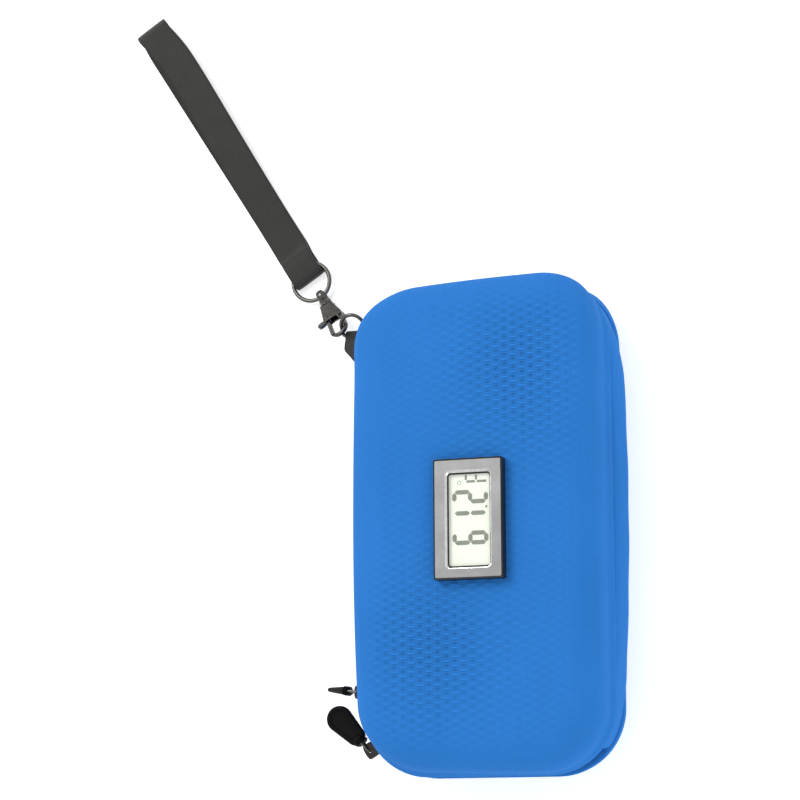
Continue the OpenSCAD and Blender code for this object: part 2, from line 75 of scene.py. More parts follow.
def mesh_obj(name, verts, faces, mat, smooth=True, uv=None, attrs=None, sharp=None):
    """One object from millimetre vertices: uv has a pair per face corner, attrs a number per vertex."""
    me = bpy.data.meshes.new(name)
    me.from_pydata((np.asarray(verts, float) * MM).tolist(), [], [list(map(int, f)) for f in faces])
    me.validate()
    if smooth:
        me.shade_smooth()
    if uv is not None:
        layer = me.uv_layers.new(name="weave")
        layer.data.foreach_set("uv", np.asarray(uv, np.float32).ravel())
    for key, values in (attrs or {}).items():
        a = me.attributes.new(key, "FLOAT", "POINT")
        a.data.foreach_set("value", np.asarray(values, np.float32))
    ob = bpy.data.objects.new(name, me)
    bpy.context.collection.objects.link(ob)
    me.materials.append(mat)
    if sharp is not None:
        me.set_sharp_from_angle(angle=math.radians(sharp))
    return ob


def recalc(ob):
    bm = bmesh.new()
    bm.from_mesh(ob.data)
    bmesh.ops.recalc_face_normals(bm, faces=bm.faces)
    bm.to_mesh(ob.data)
    bm.free()
    return ob


def settle(ob, node, body):
    """Turns the faces outward and puts the piece on its body, in place of the CAD's node where it has one."""
    recalc(ob)
    if node:
        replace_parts(ob, node)
    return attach(ob, body)


def loft(rings, close_v=False, cap=True):
    """Quads through rings of equal length, as a closed loop or with a face over each end."""
    m, n = len(rings), len(rings[0])
    verts = np.concatenate([np.asarray(r, float) for r in rings])
    faces = []
    for j in range(m if close_v else m - 1):
        a, b = j * n, ((j + 1) % m) * n
        for k in range(n):
            l = (k + 1) % n
            faces.append((a + k, b + k, b + l, a + l))
    if cap and not close_v:
        faces.append(tuple(range(n)))
        faces.append(tuple(range(m * n - 1, (m - 1) * n - 1, -1)))
    return verts, faces


def section_uv(s, v, m, n, closed=False):
    """Corner UVs for loft() through m sections of n points: s runs along the path and v round the section."""
    uv = []
    for j in range(m if closed else m - 1):
        for k in range(n):
            uv += [(s[j], v[k]), (s[j + 1], v[k]), (s[j + 1], v[k + 1]), (s[j], v[k + 1])]
    if not closed:
        uv += [(0.0, v[k]) for k in range(n)] + [(s[-1], v[k]) for k in range(n - 1, -1, -1)]
    return uv


def plan_uv(verts, faces):
    """Corner UVs that are the plan coordinates."""
    return [(verts[i][0], verts[i][1]) for f in faces for i in f]


def frames_along(path, closed=False, up=(0, 0, 1)):
    """Tangent, side and normal at each point, the side kept square to up."""
    p = np.asarray(path, float)
    if closed:
        t = np.roll(p, -1, 0) - np.roll(p, 1, 0)
    else:
        t = np.gradient(p, axis=0)
    t /= np.linalg.norm(t, axis=1)[:, None]
    side = np.cross(t, np.asarray(up, float))
    side /= np.linalg.norm(side, axis=1)[:, None]
    return t, side, np.cross(side, t)


def sweep(path, section, closed=False, up=(0, 0, 1)):
    """Carries a section of (side, normal) pairs along a path. section may be a function of the station."""
    _, side, nor = frames_along(path, closed, up)
    rings = []
    for k, p in enumerate(np.asarray(path, float)):
        s = np.asarray(section(k) if callable(section) else section, float)
        rings.append(p + s[:, :1] * side[k] + s[:, 1:2] * nor[k])
    return rings


def arc_len(path, closed=False):
    p = np.asarray(path, float)
    q = np.vstack([p, p[:1]]) if closed else p
    return np.concatenate([[0], np.cumsum(np.linalg.norm(np.diff(q, axis=0), axis=1))])


def resample(path, step=None, n=None, closed=False):
    p = np.asarray(path, float)
    q = np.vstack([p, p[:1]]) if closed else p
    s = arc_len(p, closed)
    n = n or max(2, int(round(s[-1] / step)))
    at = np.linspace(0, s[-1], n + 1 if closed else n)
    if closed:
        at = at[:-1]
    return np.stack([np.interp(at, s, q[:, k]) for k in range(q.shape[1])], 1)


def catmull(points, per=8, closed=False):
    """Smooth curve through points."""
    p = np.asarray(points, float)
    n = len(p)
    out = []
    for k in range(n if closed else n - 1):
        if closed:
            a, b, c, d = (p[(k + j) % n] for j in (-1, 0, 1, 2))
        else:
            a, b, c, d = p[max(k - 1, 0)], p[k], p[k + 1], p[min(k + 2, n - 1)]
        for j in range(per):
            t = j / per
            out.append(0.5 * (2 * b + (c - a) * t + (2 * a - 5 * b + 4 * c - d) * t * t
                              + (3 * b - a - 3 * c + d) * t ** 3))
    if not closed:
        out.append(p[-1])
    return np.array(out)


def circle_section(r, n=12):
    a = np.linspace(0, 2 * PI, n, endpoint=False)
    return np.stack([r * np.cos(a), r * np.sin(a)], 1)


def pill_section(w, t, n=5, r=None):
    """Rounded flat section, w wide and t thick, in order round it."""
    r = min(r or t / 2, t / 2)
    pts = []
    for cx, cy, a0 in ((w / 2 - r, t / 2 - r, 0), (r - w / 2, t / 2 - r, 90),
                       (r - w / 2, r - t / 2, 180), (w / 2 - r, r - t / 2, 270)):
        for k in range(n):
            a = math.radians(a0 + 90 * k / (n - 1))
            pts.append((cx + r * math.cos(a), cy + r * math.sin(a)))
    return np.array(pts)


def wire(path, r, n=12, closed=False, up=(0, 0, 1)):
    """Round wire along a path, with rounded ends."""
    p = np.asarray(path, float)
    if closed:
        rings = sweep(p, circle_section(r, n), True, up)
        return loft(rings, close_v=True)
    t = np.gradient(p, axis=0)
    t /= np.linalg.norm(t, axis=1)[:, None]
    steps = [(0.0, 0.35), (0.35, 0.75), (0.7, 0.93)]
    head = [p[0] - t[0] * r * (1 - a) for a, _ in steps]
    tail = [p[-1] + t[-1] * r * (1 - a) for a, _ in reversed(steps)]
    sizes = [b for _, b in steps] + [1.0] * len(p) + [b for _, b in reversed(steps)]
    full = np.array(head + list(p) + tail)
    rings = sweep(full, lambda k: circle_section(r * sizes[k], n), False, up)
    return loft(rings)


def join_parts(parts):
    """Several (verts, faces) as one."""
    verts, faces, base = [], [], 0
    for v, f in parts:
        verts.append(np.asarray(v, float))
        faces += [tuple(i + base for i in x) for x in f]
        base += len(v)
    return np.concatenate(verts), faces


def rrect(l, w, r, z, n=6, cx=0.0, cy=0.0):
    """Rounded rectangle ring, l along Y and w along X."""
    r = max(r, 0.01)
    pts = []
    for sx, sy, a0 in ((1, 1, 0), (-1, 1, 90), (-1, -1, 180), (1, -1, 270)):
        for k in range(n):
            a = math.radians(a0 + 90 * k / (n - 1))
            pts.append((cx + sx * (w / 2 - r) + r * math.cos(a), cy + sy * (l / 2 - r) + r * math.sin(a), z))
    return np.array(pts)


def plate(outline, z0, z1, bevel=0.25, steps=2):
    """Extruded outline with rounded edges: the outline is pulled in a little at the top and bottom."""
    p = np.asarray(outline, float)
    area = 0.5 * np.sum(p[:, 0] * np.roll(p[:, 1], -1) - p[:, 1] * np.roll(p[:, 0], -1))
    if area < 0:
        p = p[::-1]

    def inset(d):
        a, b = np.roll(p, 1, 0), np.roll(p, -1, 0)
        e1, e2 = p - a, b - p
        e1 /= np.linalg.norm(e1, axis=1)[:, None]
        e2 /= np.linalg.norm(e2, axis=1)[:, None]
        n1, n2 = np.stack([-e1[:, 1], e1[:, 0]], 1), np.stack([-e2[:, 1], e2[:, 0]], 1)
        m = n1 + n2
        m /= np.maximum(np.linalg.norm(m, axis=1), 1e-6)[:, None]
        k = np.clip(np.sum(m * n1, 1), 0.5, 1)
        return p + m * (d / k)[:, None]

    rings = []
    for s in range(steps + 1):
        a = PI / 2 * s / steps
        q = inset(bevel * (1 - math.sin(a)))
        rings.append(np.column_stack([q, np.full(len(q), z0 + bevel * (1 - math.cos(a)))]))
    for s in range(steps + 1):
        a = PI / 2 * (1 - s / steps)
        q = inset(bevel * (1 - math.sin(a)))
        rings.append(np.column_stack([q, np.full(len(q), z1 - bevel * (1 - math.cos(a)))]))
    return loft(rings)


def smooth_outline(points, per=4):
    return catmull(points, per, closed=True)


def at(matrix, parts):
    """Moves (verts, faces) by a 4x4 matrix in millimetres."""
    v, f = parts
    m = np.array(matrix, float)
    return v @ m[:3, :3].T + m[:3, 3], f


# ---------------------------------------------------------------- materials

class Val:
    """A number in a shader tree, so that a formula reads as one."""

    def __init__(self, tree, socket):
        self.tree, self.socket = tree, socket

    def op(self, kind, *others, clamp=False):
        node = self.tree.nodes.new("ShaderNodeMath")
        node.operation = kind
        node.use_clamp = clamp
        for k, x in enumerate((self, *others)):
            if isinstance(x, Val):
                self.tree.links.new(x.socket, node.inputs[k])
            else:
                node.inputs[k].default_value = x
        return Val(self.tree, node.outputs[0])

    def __add__(self, x): return self.op("ADD", x)
    def __sub__(self, x): return self.op("SUBTRACT", x)
    def __mul__(self, x): return self.op("MULTIPLY", x)
    __radd__, __rmul__ = __add__, __mul__
    def sin(self): return self.op("SINE")
    def cos(self): return self.op("COSINE")
    def abs(self): return self.op("ABSOLUTE")
    def pow(self, x): return self.op("POWER", x)
    def clamp(self): return self.op("ADD", 0.0, clamp=True)
    def most(self, x): return self.op("MAXIMUM", x)

    def remap(self, a, b, c=0.0, d=1.0):
        """Eases from c to d while the value goes from a to b."""
        node = self.tree.nodes.new("ShaderNodeMapRange")
        node.interpolation_type = "SMOOTHSTEP"
        self.tree.links.new(self.socket, node.inputs[0])
        for k, x in enumerate((a, b, c, d)):
            node.inputs[k + 1].default_value = x
        return Val(self.tree, node.outputs[0])


class Paint:
    """A Principled material and the nodes that feed it."""

    def __init__(self, name, color=(0.5, 0.5, 0.5), rough=0.5, metal=0.0, **sockets):
        self.mat = bpy.data.materials.new(name)
        self.mat.use_nodes = True
        self.tree = self.mat.node_tree
        self.bsdf = self.tree.nodes["Principled BSDF"]
        self.set("Base Color", (*color, 1.0))
        self.set("Roughness", rough)
        self.set("Metallic", metal)
        for key, value in sockets.items():
            self.set(key.replace("_", " "), value)
        self.mat.diffuse_color = (*color, 1.0)

    def set(self, key, value):
        socket = self.bsdf.inputs[key]
        if isinstance(value, Val):
            self.tree.links.new(value.socket, socket)
        else:
            socket.default_value = value

    def node(self, kind, **props):
        n = self.tree.nodes.new(kind)
        for key, value in props.items():
            setattr(n, key, value)
        return n

    def split(self, socket):
        sep = self.node("ShaderNodeSeparateXYZ")
        self.tree.links.new(socket, sep.inputs[0])
        return [Val(self.tree, o) for o in sep.outputs]

    def place(self):
        """Object coordinates, which are the row frame's at rest, in millimetres."""
        coord = self.node("ShaderNodeTexCoord")
        scale = self.node("ShaderNodeVectorMath", operation="SCALE")
        self.tree.links.new(coord.outputs["Object"], scale.inputs[0])
        scale.inputs["Scale"].default_value = 1000.0
        self.where = scale.outputs[0]
        return self.split(self.where)

    def uv(self):
        """The piece's own unrolled millimetres."""
        n = self.node("ShaderNodeUVMap", uv_map="weave")
        return self.split(n.outputs[0])

    def attr(self, name):
        n = self.node("ShaderNodeAttribute", attribute_name=name)
        return Val(self.tree, n.outputs["Fac"])

    def noise(self, scale, detail=2.0, rough=0.5, stretch=(1, 1, 1)):
        n = self.node("ShaderNodeTexNoise")
        m = self.node("ShaderNodeMapping")
        m.inputs["Scale"].default_value = stretch
        self.tree.links.new(self.where, m.inputs[0])
        self.tree.links.new(m.outputs[0], n.inputs["Vector"])
        n.inputs["Scale"].default_value = scale
        n.inputs["Detail"].default_value = detail
        n.inputs["Roughness"].default_value = rough
        return Val(self.tree, n.outputs["Fac"])

    def colors(self, fac, *stops):
        """Colour along fac, from (place, (r, g, b)) stops, into the base colour."""
        n = self.node("ShaderNodeValToRGB")
        ramp = n.color_ramp
        while len(ramp.elements) < len(stops):
            ramp.elements.new(0.5)
        for e, (p, c) in zip(ramp.elements, stops):
            e.position = p
            e.color = (*c, 1.0)
        self.tree.links.new(fac.socket, n.inputs[0])
        self.tree.links.new(n.outputs[0], self.bsdf.inputs["Base Color"])

    def bump(self, height, depth):
        """Height from 0 to 1, depth in millimetres."""
        n = self.node("ShaderNodeBump")
        n.inputs["Distance"].default_value = depth * MM
        n.inputs["Strength"].default_value = 1.0
        self.tree.links.new(height.socket, n.inputs["Height"])
        self.tree.links.new(n.outputs[0], self.bsdf.inputs["Normal"])


def shade(c, k):
    """The colour c made k times as bright."""
    return tuple(min(1.0, x * k) for x in c)


def laminate(name, color):
    """Embossed laminate on moulded foam: a chequer of small raised lenses, pressed out towards the edges,
    with a painted highlight on the lenses and painted shade in the dots between them.
    """
    p = Paint(name, color, 0.7, Specular_IOR_Level=0.035)
    p.place()
    u, v, _ = p.uv()
    mask = p.attr("emboss")
    wob = p.noise(0.05, 2)
    a = (u * (PI / 3.6)).cos()
    b = ((v + wob * 1.2) * (PI / 1.78)).cos()
    lens = a * b
    dash = lens.most(0.0).pow(0.55) * b.abs().pow(1.6)
    dot = (lens * (-1.0)).most(0.0).pow(2.6)
    body = dash - dot * 0.55
    grain = p.noise(2.6, 4, 0.65)
    streak = p.noise(0.42, 2, 0.5, (1, 0.05, 1))
    height = body * mask * 0.9 + grain * 0.12 + streak * 0.35
    p.bump(height, 0.95)
    slow = p.noise(0.022, 2)
    # painted light on the relief: through body the raised lenses are painted lighter and the pressed dots
    # darker, a painted highlight and painted shade scaled by the emboss mask; slow, streak and grain add
    # random tone
    tone = ((body - 0.2) * mask * 0.66 + slow * 0.22 + streak * 0.12 + grain * 0.08 + 0.31).clamp()
    p.colors(tone, (0.0, shade(color, 0.62)), (0.5, color), (1.0, shade(color, 1.42)))
    p.set("Roughness", (grain * 0.16 + body * mask * (-0.1) + 0.66).clamp())
    return p.mat


def weave(name, color, pu, pv, rough=0.8, depth=0.12, edge=None):
    """Plain woven cloth: u runs along the piece, v across it, and pu and pv are the threads' pitch."""
    p = Paint(name, color, rough, Specular_IOR_Level=0.2, Sheen_Weight=0.25, Sheen_Roughness=0.4)
    p.place()
    u, v, _ = p.uv()
    cross = (u * (PI / pu)).sin() * (v * (PI / pv)).sin()
    thread = cross.abs().pow(0.6)
    over = cross.remap(-0.15, 0.15)
    fibre = p.noise(5.0, 3, 0.6)
    slow = p.noise(0.12, 3)
    height = thread * 0.8 + over * 0.15 + fibre * 0.25
    p.bump(height, depth)
    tone = thread * 0.30 + over * 0.16 + fibre * 0.2 + slow * 0.22 + 0.06
    if edge:
        # darker towards the selvedges
        tone = tone - v.abs().remap(edge - 1.6, edge, 0.0, 0.16)
    tone = tone.clamp()
    p.colors(tone, (0.0, shade(color, 0.35)), (0.5, color), (1.0, shade(color, 1.75)))
    p.set("Roughness", (fibre * 0.2 + rough - 0.1).clamp())
    return p.mat


def knit(name, color):
    """Fine warp-knit lining."""
    p = Paint(name, color, 0.9, Specular_IOR_Level=0.15, Sheen_Weight=0.35, Sheen_Roughness=0.5)
    p.place()
    u, v, _ = p.uv()
    zig = ((v * (2 * PI / 1.1)).sin() * 0.22 + u) * (2 * PI / 0.9)
    loops = zig.sin() * 0.5 + 0.5
    rows = (v * (2 * PI / 1.1)).cos() * 0.5 + 0.5
    fibre = p.noise(4.0, 3, 0.6)
    slow = p.noise(0.05, 2)
    height = loops * 0.7 + rows * 0.3 + fibre * 0.3
    p.bump(height, 0.14)
    tone = (loops * 0.28 + rows * 0.12 + fibre * 0.2 + slow * 0.3).clamp()
    p.colors(tone, (0.0, shade(color, 0.4)), (0.5, color), (1.0, shade(color, 1.9)))
    return p.mat


def metal(name, color, rough=0.24, brushed=(1, 1, 1), worn=1.5):
    """Plated metal: faint casting texture, small scratches and rubbed patches."""
    p = Paint(name, color, rough, 1.0)
    p.place()
    grain = p.noise(3.0, 4, 0.6, brushed)
    patch = p.noise(0.5, 3, 0.55)
    marks = p.noise(1.4, 2, 0.5, (6, 0.6, 1)).remap(0.58, 0.72)
    p.bump(grain * 0.6 + marks * 0.5, 0.02)
    tone = (patch * 0.7 + marks * 0.25 + 0.08).clamp()
    p.colors(tone, (0.0, shade(color, 0.55)), (0.5, color), (1.0, shade(color, worn)))
    p.set("Roughness", (grain * 0.16 + marks * 0.12 + rough - 0.1).clamp())
    return p.mat


def moulded(name, color, rough=0.45, grain_size=3.0, depth=0.03, spec=0.4, lift=1.8):
    """Moulded plastic or rubber with a fine spark-eroded grain."""
    p = Paint(name, color, rough, Specular_IOR_Level=spec)
    p.place()
    grain = p.noise(grain_size, 3, 0.6)
    slow = p.noise(0.25, 2)
    scuff = p.noise(0.9, 4, 0.7, (1, 4, 1)).remap(0.6, 0.8)
    p.bump(grain + scuff * 0.5, depth)
    tone = (grain * 0.3 + slow * 0.5 + scuff * 0.25).clamp()
    p.colors(tone, (0.0, shade(color, 0.6)), (0.5, color), (1.0, shade(color, lift)))
    p.set("Roughness", (grain * 0.14 + scuff * 0.14 + rough - 0.08).clamp())
    return p.mat


BLUE = (0.026, 0.184, 0.572)
CHARCOAL = (0.040, 0.040, 0.037)

M = {
    "shell": laminate("shell_laminate", BLUE),
    "lining": knit("lining_knit", (0.028, 0.028, 0.032)),
    "tape": weave("zip_tape_weave", (0.016, 0.13, 0.42), 0.55, 0.4, 0.8, 0.08),
    "binding": weave("binding_weave", (0.020, 0.020, 0.021), 0.7, 0.6, 0.85, 0.10),
    "webbing": weave("webbing_weave", CHARCOAL, 1.05, 0.62, 0.75, 0.20, edge=7.4),
    "tab": weave("tab_weave", (0.040, 0.040, 0.038), 1.05, 0.62, 0.75, 0.20, edge=5.6),
    "elastic": weave("elastic_rib", (0.030, 0.030, 0.031), 0.8, 1.3, 0.85, 0.22),
    "net": weave("net_thread", (0.028, 0.028, 0.030), 0.3, 0.3, 0.8, 0.05),
    "thread": weave("sewing_thread", (0.035, 0.035, 0.036), 0.35, 0.35, 0.7, 0.05),
    "thread_blue": weave("sewing_thread_blue", (0.018, 0.15, 0.50), 0.35, 0.35, 0.7, 0.05),
    "coil": moulded("nylon_coil", (0.016, 0.016, 0.017), 0.4, 4.0, 0.02),
    "gunmetal": metal("black_nickel", (0.135, 0.130, 0.122), 0.22),
    "gunmetal_cast": metal("black_nickel_cast", (0.115, 0.110, 0.103), 0.30, worn=1.9),
    "steel": metal("drawn_steel", (0.5, 0.5, 0.49), 0.25, (1, 1, 8)),
    "rubber": moulded("pull_rubber", (0.0035, 0.0035, 0.004), 0.6, 2.2, 0.03, 0.10, 2.0),
    "plastic": moulded("black_plastic", (0.011, 0.011, 0.012), 0.38, 2.8, 0.02),
    "pcb": moulded("board_green", (0.012, 0.085, 0.035), 0.35, 1.5, 0.03),
    "cell": metal("cell_steel", (0.62, 0.63, 0.64), 0.22, (1, 1, 1), 1.15),
    "contact": metal("contact_plate", (0.70, 0.60, 0.36), 0.28, (1, 1, 1), 1.2),
}


def face_lacquer():
    """Metallic grey lacquer, faintly brushed along the frame."""
    p = Paint("face_lacquer", (0.24, 0.245, 0.245), 0.38, 0.75)
    p.place()
    brush = p.noise(2.0, 3, 0.6, (9, 0.35, 1))
    slow = p.noise(0.12, 2)
    p.bump(brush, 0.012)
    tone = (brush * 0.4 + slow * 0.5).clamp()
    p.colors(tone, (0.0, (0.19, 0.192, 0.194)), (0.5, (0.30, 0.305, 0.305)), (1.0, (0.48, 0.485, 0.48)))
    p.set("Roughness", (brush * 0.18 + 0.28).clamp())
    return p.mat


def lcd_glass():
    """Reflective display: a pale green-grey ground with a faint pixel of grain, darker round its edge, which
    is painted shade, and with a faint painted glow over it.
    """
    # the emission is a painted glow: the display has no light of its own, and this only makes its ground
    # brighter
    p = Paint("lcd_ground", (0.90, 0.92, 0.84), 0.4, Specular_IOR_Level=0.3,
              Emission_Color=(0.95, 0.95, 0.90, 1), Emission_Strength=0.26)
    x, y, _ = p.place()
    # painted shade: the ground is darkened towards its edge, where the recess walls would shade it
    edge = (x.abs().remap(7.5, 9.9)).most(y.abs().remap(17.0, 19.4))
    grain = p.noise(3.0, 2)
    slow = p.noise(0.08, 2)
    p.bump(grain, 0.01)
    tone = (edge * (-0.4) + grain * 0.12 + slow * 0.35 + 0.5).clamp()
    p.colors(tone, (0.0, (0.66, 0.65, 0.59)), (0.5, (0.93, 0.91, 0.84)), (1.0, (0.96, 0.95, 0.91)))
    return p.mat


def lens_glass():
    """Clear window: mostly see-through, with a gloss that grows towards grazing angles."""
    m = bpy.data.materials.new("lens_clear")
    m.use_nodes = True
    t = m.node_tree
    t.nodes.remove(t.nodes["Principled BSDF"])
    out = t.nodes["Material Output"]
    clear, gloss, mix, fres = (t.nodes.new(k) for k in (
        "ShaderNodeBsdfTransparent", "ShaderNodeBsdfGlossy", "ShaderNodeMixShader", "ShaderNodeFresnel"))
    coord, noise, bump, cap = (t.nodes.new(k) for k in (
        "ShaderNodeTexCoord", "ShaderNodeTexNoise", "ShaderNodeBump", "ShaderNodeMath"))
    # the window's lower face would reflect everything at a slant, and hide the display
    cap.operation = "MINIMUM"
    cap.inputs[1].default_value = 0.12
    clear.inputs[0].default_value = (0.95, 0.97, 0.95, 1)
    gloss.inputs["Roughness"].default_value = 0.06
    fres.inputs["IOR"].default_value = 1.45
    noise.inputs["Scale"].default_value = 60.0
    bump.inputs["Distance"].default_value = 0.00002
    t.links.new(coord.outputs["Object"], noise.inputs["Vector"])
    t.links.new(noise.outputs["Fac"], bump.inputs["Height"])
    t.links.new(bump.outputs[0], gloss.inputs["Normal"])
    t.links.new(fres.outputs[0], cap.inputs[0])
    t.links.new(cap.outputs[0], mix.inputs[0])
    t.links.new(clear.outputs[0], mix.inputs[1])
    t.links.new(gloss.outputs[0], mix.inputs[2])
    t.links.new(mix.outputs[0], out.inputs["Surface"])
    return m


M["face"] = face_lacquer()
M["lcd"] = lcd_glass()
M["lens"] = lens_glass()
M["trim"] = metal("polished_trim", (0.90, 0.90, 0.89), 0.16, (1, 1, 1), 1.05)
M["slider"] = metal("slider_black", (0.052, 0.046, 0.044), 0.3, worn=1.9)
M["ink"] = moulded("lcd_ink", (0.37, 0.37, 0.33), 0.5, 3.0, 0.01, 0.2, 1.2)


# ---------------------------------------------------------------- camera, light and floor

def camera_and_light():
    """Camera over the front face, a little right and below; two soft lights, a white world, a pale floor."""
    th, ph, roll, far = 0.3247, 0.1755, -0.0049, 1.1
    v = Vector((math.sin(th) * math.cos(ph), -math.sin(ph), math.cos(th) * math.cos(ph)))
    r = Vector((math.cos(th), 0, -math.sin(th)))
    u = v.cross(r)
    r2 = r * math.cos(roll) + u * math.sin(roll)
    u2 = u * math.cos(roll) - r * math.sin(roll)
    target = Vector((-38.9, 55.0, 28.0)) * MM
    cam = bpy.data.objects.new("camera", bpy.data.cameras.new("camera"))
    cam.matrix_world = Matrix((
        (r2.x, u2.x, v.x, target.x + far * v.x), (r2.y, u2.y, v.y, target.y + far * v.y),
        (r2.z, u2.z, v.z, target.z + far * v.z), (0, 0, 0, 1)))
    cam.data.lens = 119.8
    cam.data.sensor_width = 36
    cam.data.clip_start = 0.05
    bpy.context.collection.objects.link(cam)
    bpy.context.scene.camera = cam

    def area(name, place, size, power, tint=(1, 1, 1)):
        light = bpy.data.objects.new(name, bpy.data.lights.new(name, "AREA"))
        light.data.shape = "DISK"
        light.data.size = size
        light.data.energy = power
        light.data.color = tint
        light.location = place
        aim = Vector((-0.02, 0.03, 0.03)) - Vector(place)
        light.rotation_euler = aim.to_track_quat("-Z", "Y").to_euler()
        bpy.context.collection.objects.link(light)

    area("key", (-0.75, 0.75, 1.35), 0.9, 12.0, (1.0, 0.99, 0.97))
    area("fill", (0.9, -0.7, 1.1), 1.1, 4.2, (0.97, 0.98, 1.0))

    world = bpy.data.worlds.new("studio")
    world.use_nodes = True
    back = world.node_tree.nodes["Background"]
    back.inputs[0].default_value = (1, 1, 1, 1)
    back.inputs[1].default_value = 0.72
    bpy.context.scene.world = world

    n, half = 24, 3.0
    g = np.linspace(-half, half, n + 1) * 1000
    verts = [(x, y, 0.0) for y in g for x in g]
    faces = [(j * (n + 1) + k, j * (n + 1) + k + 1, (j + 1) * (n + 1) + k + 1, (j + 1) * (n + 1) + k)
             for j in range(n) for k in range(n)]
    p = Paint("floor_paper", (0.93, 0.93, 0.93), 0.8, Specular_IOR_Level=0.1, Emission_Color=(1, 1, 1, 1),
              Emission_Strength=0.46)
    p.place()
    tone = p.noise(0.01, 2)
    p.colors(tone, (0.0, (0.92, 0.92, 0.92)), (1.0, (0.95, 0.95, 0.95)))
    floor = mesh_obj("floor", verts, faces, p.mat)
    floor.location.z = -0.0002


camera_and_light()
bpy.context.scene.view_settings.view_transform = "Standard"
bpy.context.scene.view_settings.look = "None"


# ---------------------------------------------------------------- shells and linings

N_LONG, N_SHORT, N_ARC = 44, 18, 16


def rounded_plan(hx, hy, r):
    """Points round a rectangle of half sizes hx, hy with corners of radius r, from the lower right."""
    pts = []

    def line(p, q, n):
        for k in range(n):
            t = k / n
            pts.append((p[0] + (q[0] - p[0]) * t, p[1] + (q[1] - p[1]) * t))

    def arc(cx, cy, a0):
        for k in range(N_ARC):
            a = math.radians(a0 + 90 * k / N_ARC)
            pts.append((cx + r * math.cos(a), cy + r * math.sin(a)))

    line((hx, r - hy), (hx, hy - r), N_LONG)
    arc(hx - r, hy - r, 0)
    line((hx - r, hy), (r - hx, hy), N_SHORT)
    arc(r - hx, hy - r, 90)
    line((-hx, hy - r), (-hx, r - hy), N_LONG)
    arc(r - hx, r - hy, 180)
    line((r - hx, -hy), (hx - r, -hy), N_SHORT)
    arc(hx - r, r - hy, 270)
    return np.array(pts)


def rim(i, b=0.0, z=0.0):
    """Closed ring at inset i and height z. b is how much of the sides' bow it has, from 0 to 1."""
    hx, hy = CASE_W / 2 - i, CASE_L / 2 - i
    r = max(CORNER_R - i, 3.0)
    p = rounded_plan(hx, hy, r)
    x, y = p[:, 0], p[:, 1]
    out = np.zeros((len(p), 3))
    bow = np.where(x < 0, -BOW_ZIP, BOW_SPINE)
    out[:, 0] = x + b * bow * (1 - (y / hy) ** 2) * np.minimum(1, np.abs(x) / (hx - r))
    out[:, 1] = y + b * BOW_Y * np.sign(y) * (1 - (x / hx) ** 2) * np.minimum(1, np.abs(y) / (hy - r))
    # the ends lean, the zip side draws out towards the top, and both upper corners are full
    end = np.clip(np.abs(y) / hy, 0, 1) ** 3
    out[:, 1] += b * end * np.where(y > 0, 0.2 + 0.042 * x, 0.9 - 0.028 * x)
    full = b * np.exp(-((x + 48) / 13) ** 2 - ((y - 89) / 15) ** 2)
    zip_side = np.where(x < 0, np.clip(y / hy, 0, 1) ** 2 * np.minimum(1, -x / 40), 0)
    out[:, 0] -= 1.5 * full + b * 1.5 * zip_side
    hinge = b * np.exp(-((x - 43) / 12) ** 2 - ((y - 94) / 14) ** 2)
    out[:, 0] += 1.1 * hinge
    out[:, 1] += 0.8 * full + 0.8 * hinge
    out[:, 2] = z
    return out


def rect_ring(l, w, z, r=0.4):
    """Ring with rim()'s count and order round a small rounded rectangle."""
    p = rounded_plan(w / 2, l / 2, r)
    return np.column_stack([p, np.full(len(p), z)])


def edge_profile(r, steps, down=False):
    """Inset, height and bow up the turned edge at radius r about its centre."""
    out = [(CORE_I - r * math.sin(PI / 2 * k / steps), EDGE_R - r * math.cos(PI / 2 * k / steps),
            math.sin(PI / 2 * k / steps)) for k in range(steps + 1)]
    return out[::-1] if down else out


def face_rings(inner, z, i0, count):
    """Rings that close the flat face from inset i0 in to a small rectangle."""
    outer = rim(i0, 0.0, z)
    return [outer * (1 - t) + inner * t for t in np.linspace(0, 1, count + 1)[1:]]


def flip(rings):
    """Turns a half over to become the front one."""
    out = []
    for r in rings:
        q = r.copy()
        q[:, 2] = CASE_H - q[:, 2]
        out.append(q)
    return out


def unrolled(rings, ref):
    """UVs in millimetres for stacked rings: plan coordinates over the face, then outward along the wall."""
    m, n = len(rings), len(rings[0])
    centre = rings[ref][:, :2]
    nxt, prv = np.roll(centre, -1, 0), np.roll(centre, 1, 0)
    t = nxt - prv
    t /= np.maximum(np.linalg.norm(t, axis=1), 1e-9)[:, None]
    out = np.stack([t[:, 1], -t[:, 0]], 1)
    uvs = [None] * m
    for j in range(ref + 1):
        uvs[j] = rings[j][:, :2]
    walk = np.zeros(n)
    for j in range(ref + 1, m):
        walk = walk + np.linalg.norm(rings[j] - rings[j - 1], axis=1)
        uvs[j] = centre + out * walk[:, None]
    return np.array(uvs)


def loft_uv(uvs, m, n, closed=False):
    """Corner UVs for loft() from one pair for each vertex."""
    corners = []
    for j in range(m if closed else m - 1):
        a, b = uvs[j], uvs[(j + 1) % m]
        for k in range(n):
            l = (k + 1) % n
            corners += [a[k], b[k], b[l], a[l]]
    if not closed:
        corners += [uvs[0][k] for k in range(n)] + [uvs[-1][k] for k in range(n - 1, -1, -1)]
    return corners


def half_piece(name, node, rings, uvs, mat, front, attrs=None):
    """A half's piece: its rings close into a loop in front, and the back one is capped in the middle."""
    verts, faces = loft(flip(rings) if front else rings, close_v=front)
    uv = loft_uv(uvs, len(rings), len(rings[0]), closed=front)
    ob = mesh_obj(name, verts, faces, mat, uv=uv, attrs=attrs)
    settle(ob, node, "case_lid" if front else "case_base")
    ob.data.set_sharp_from_angle(angle=math.radians(60))
    return ob


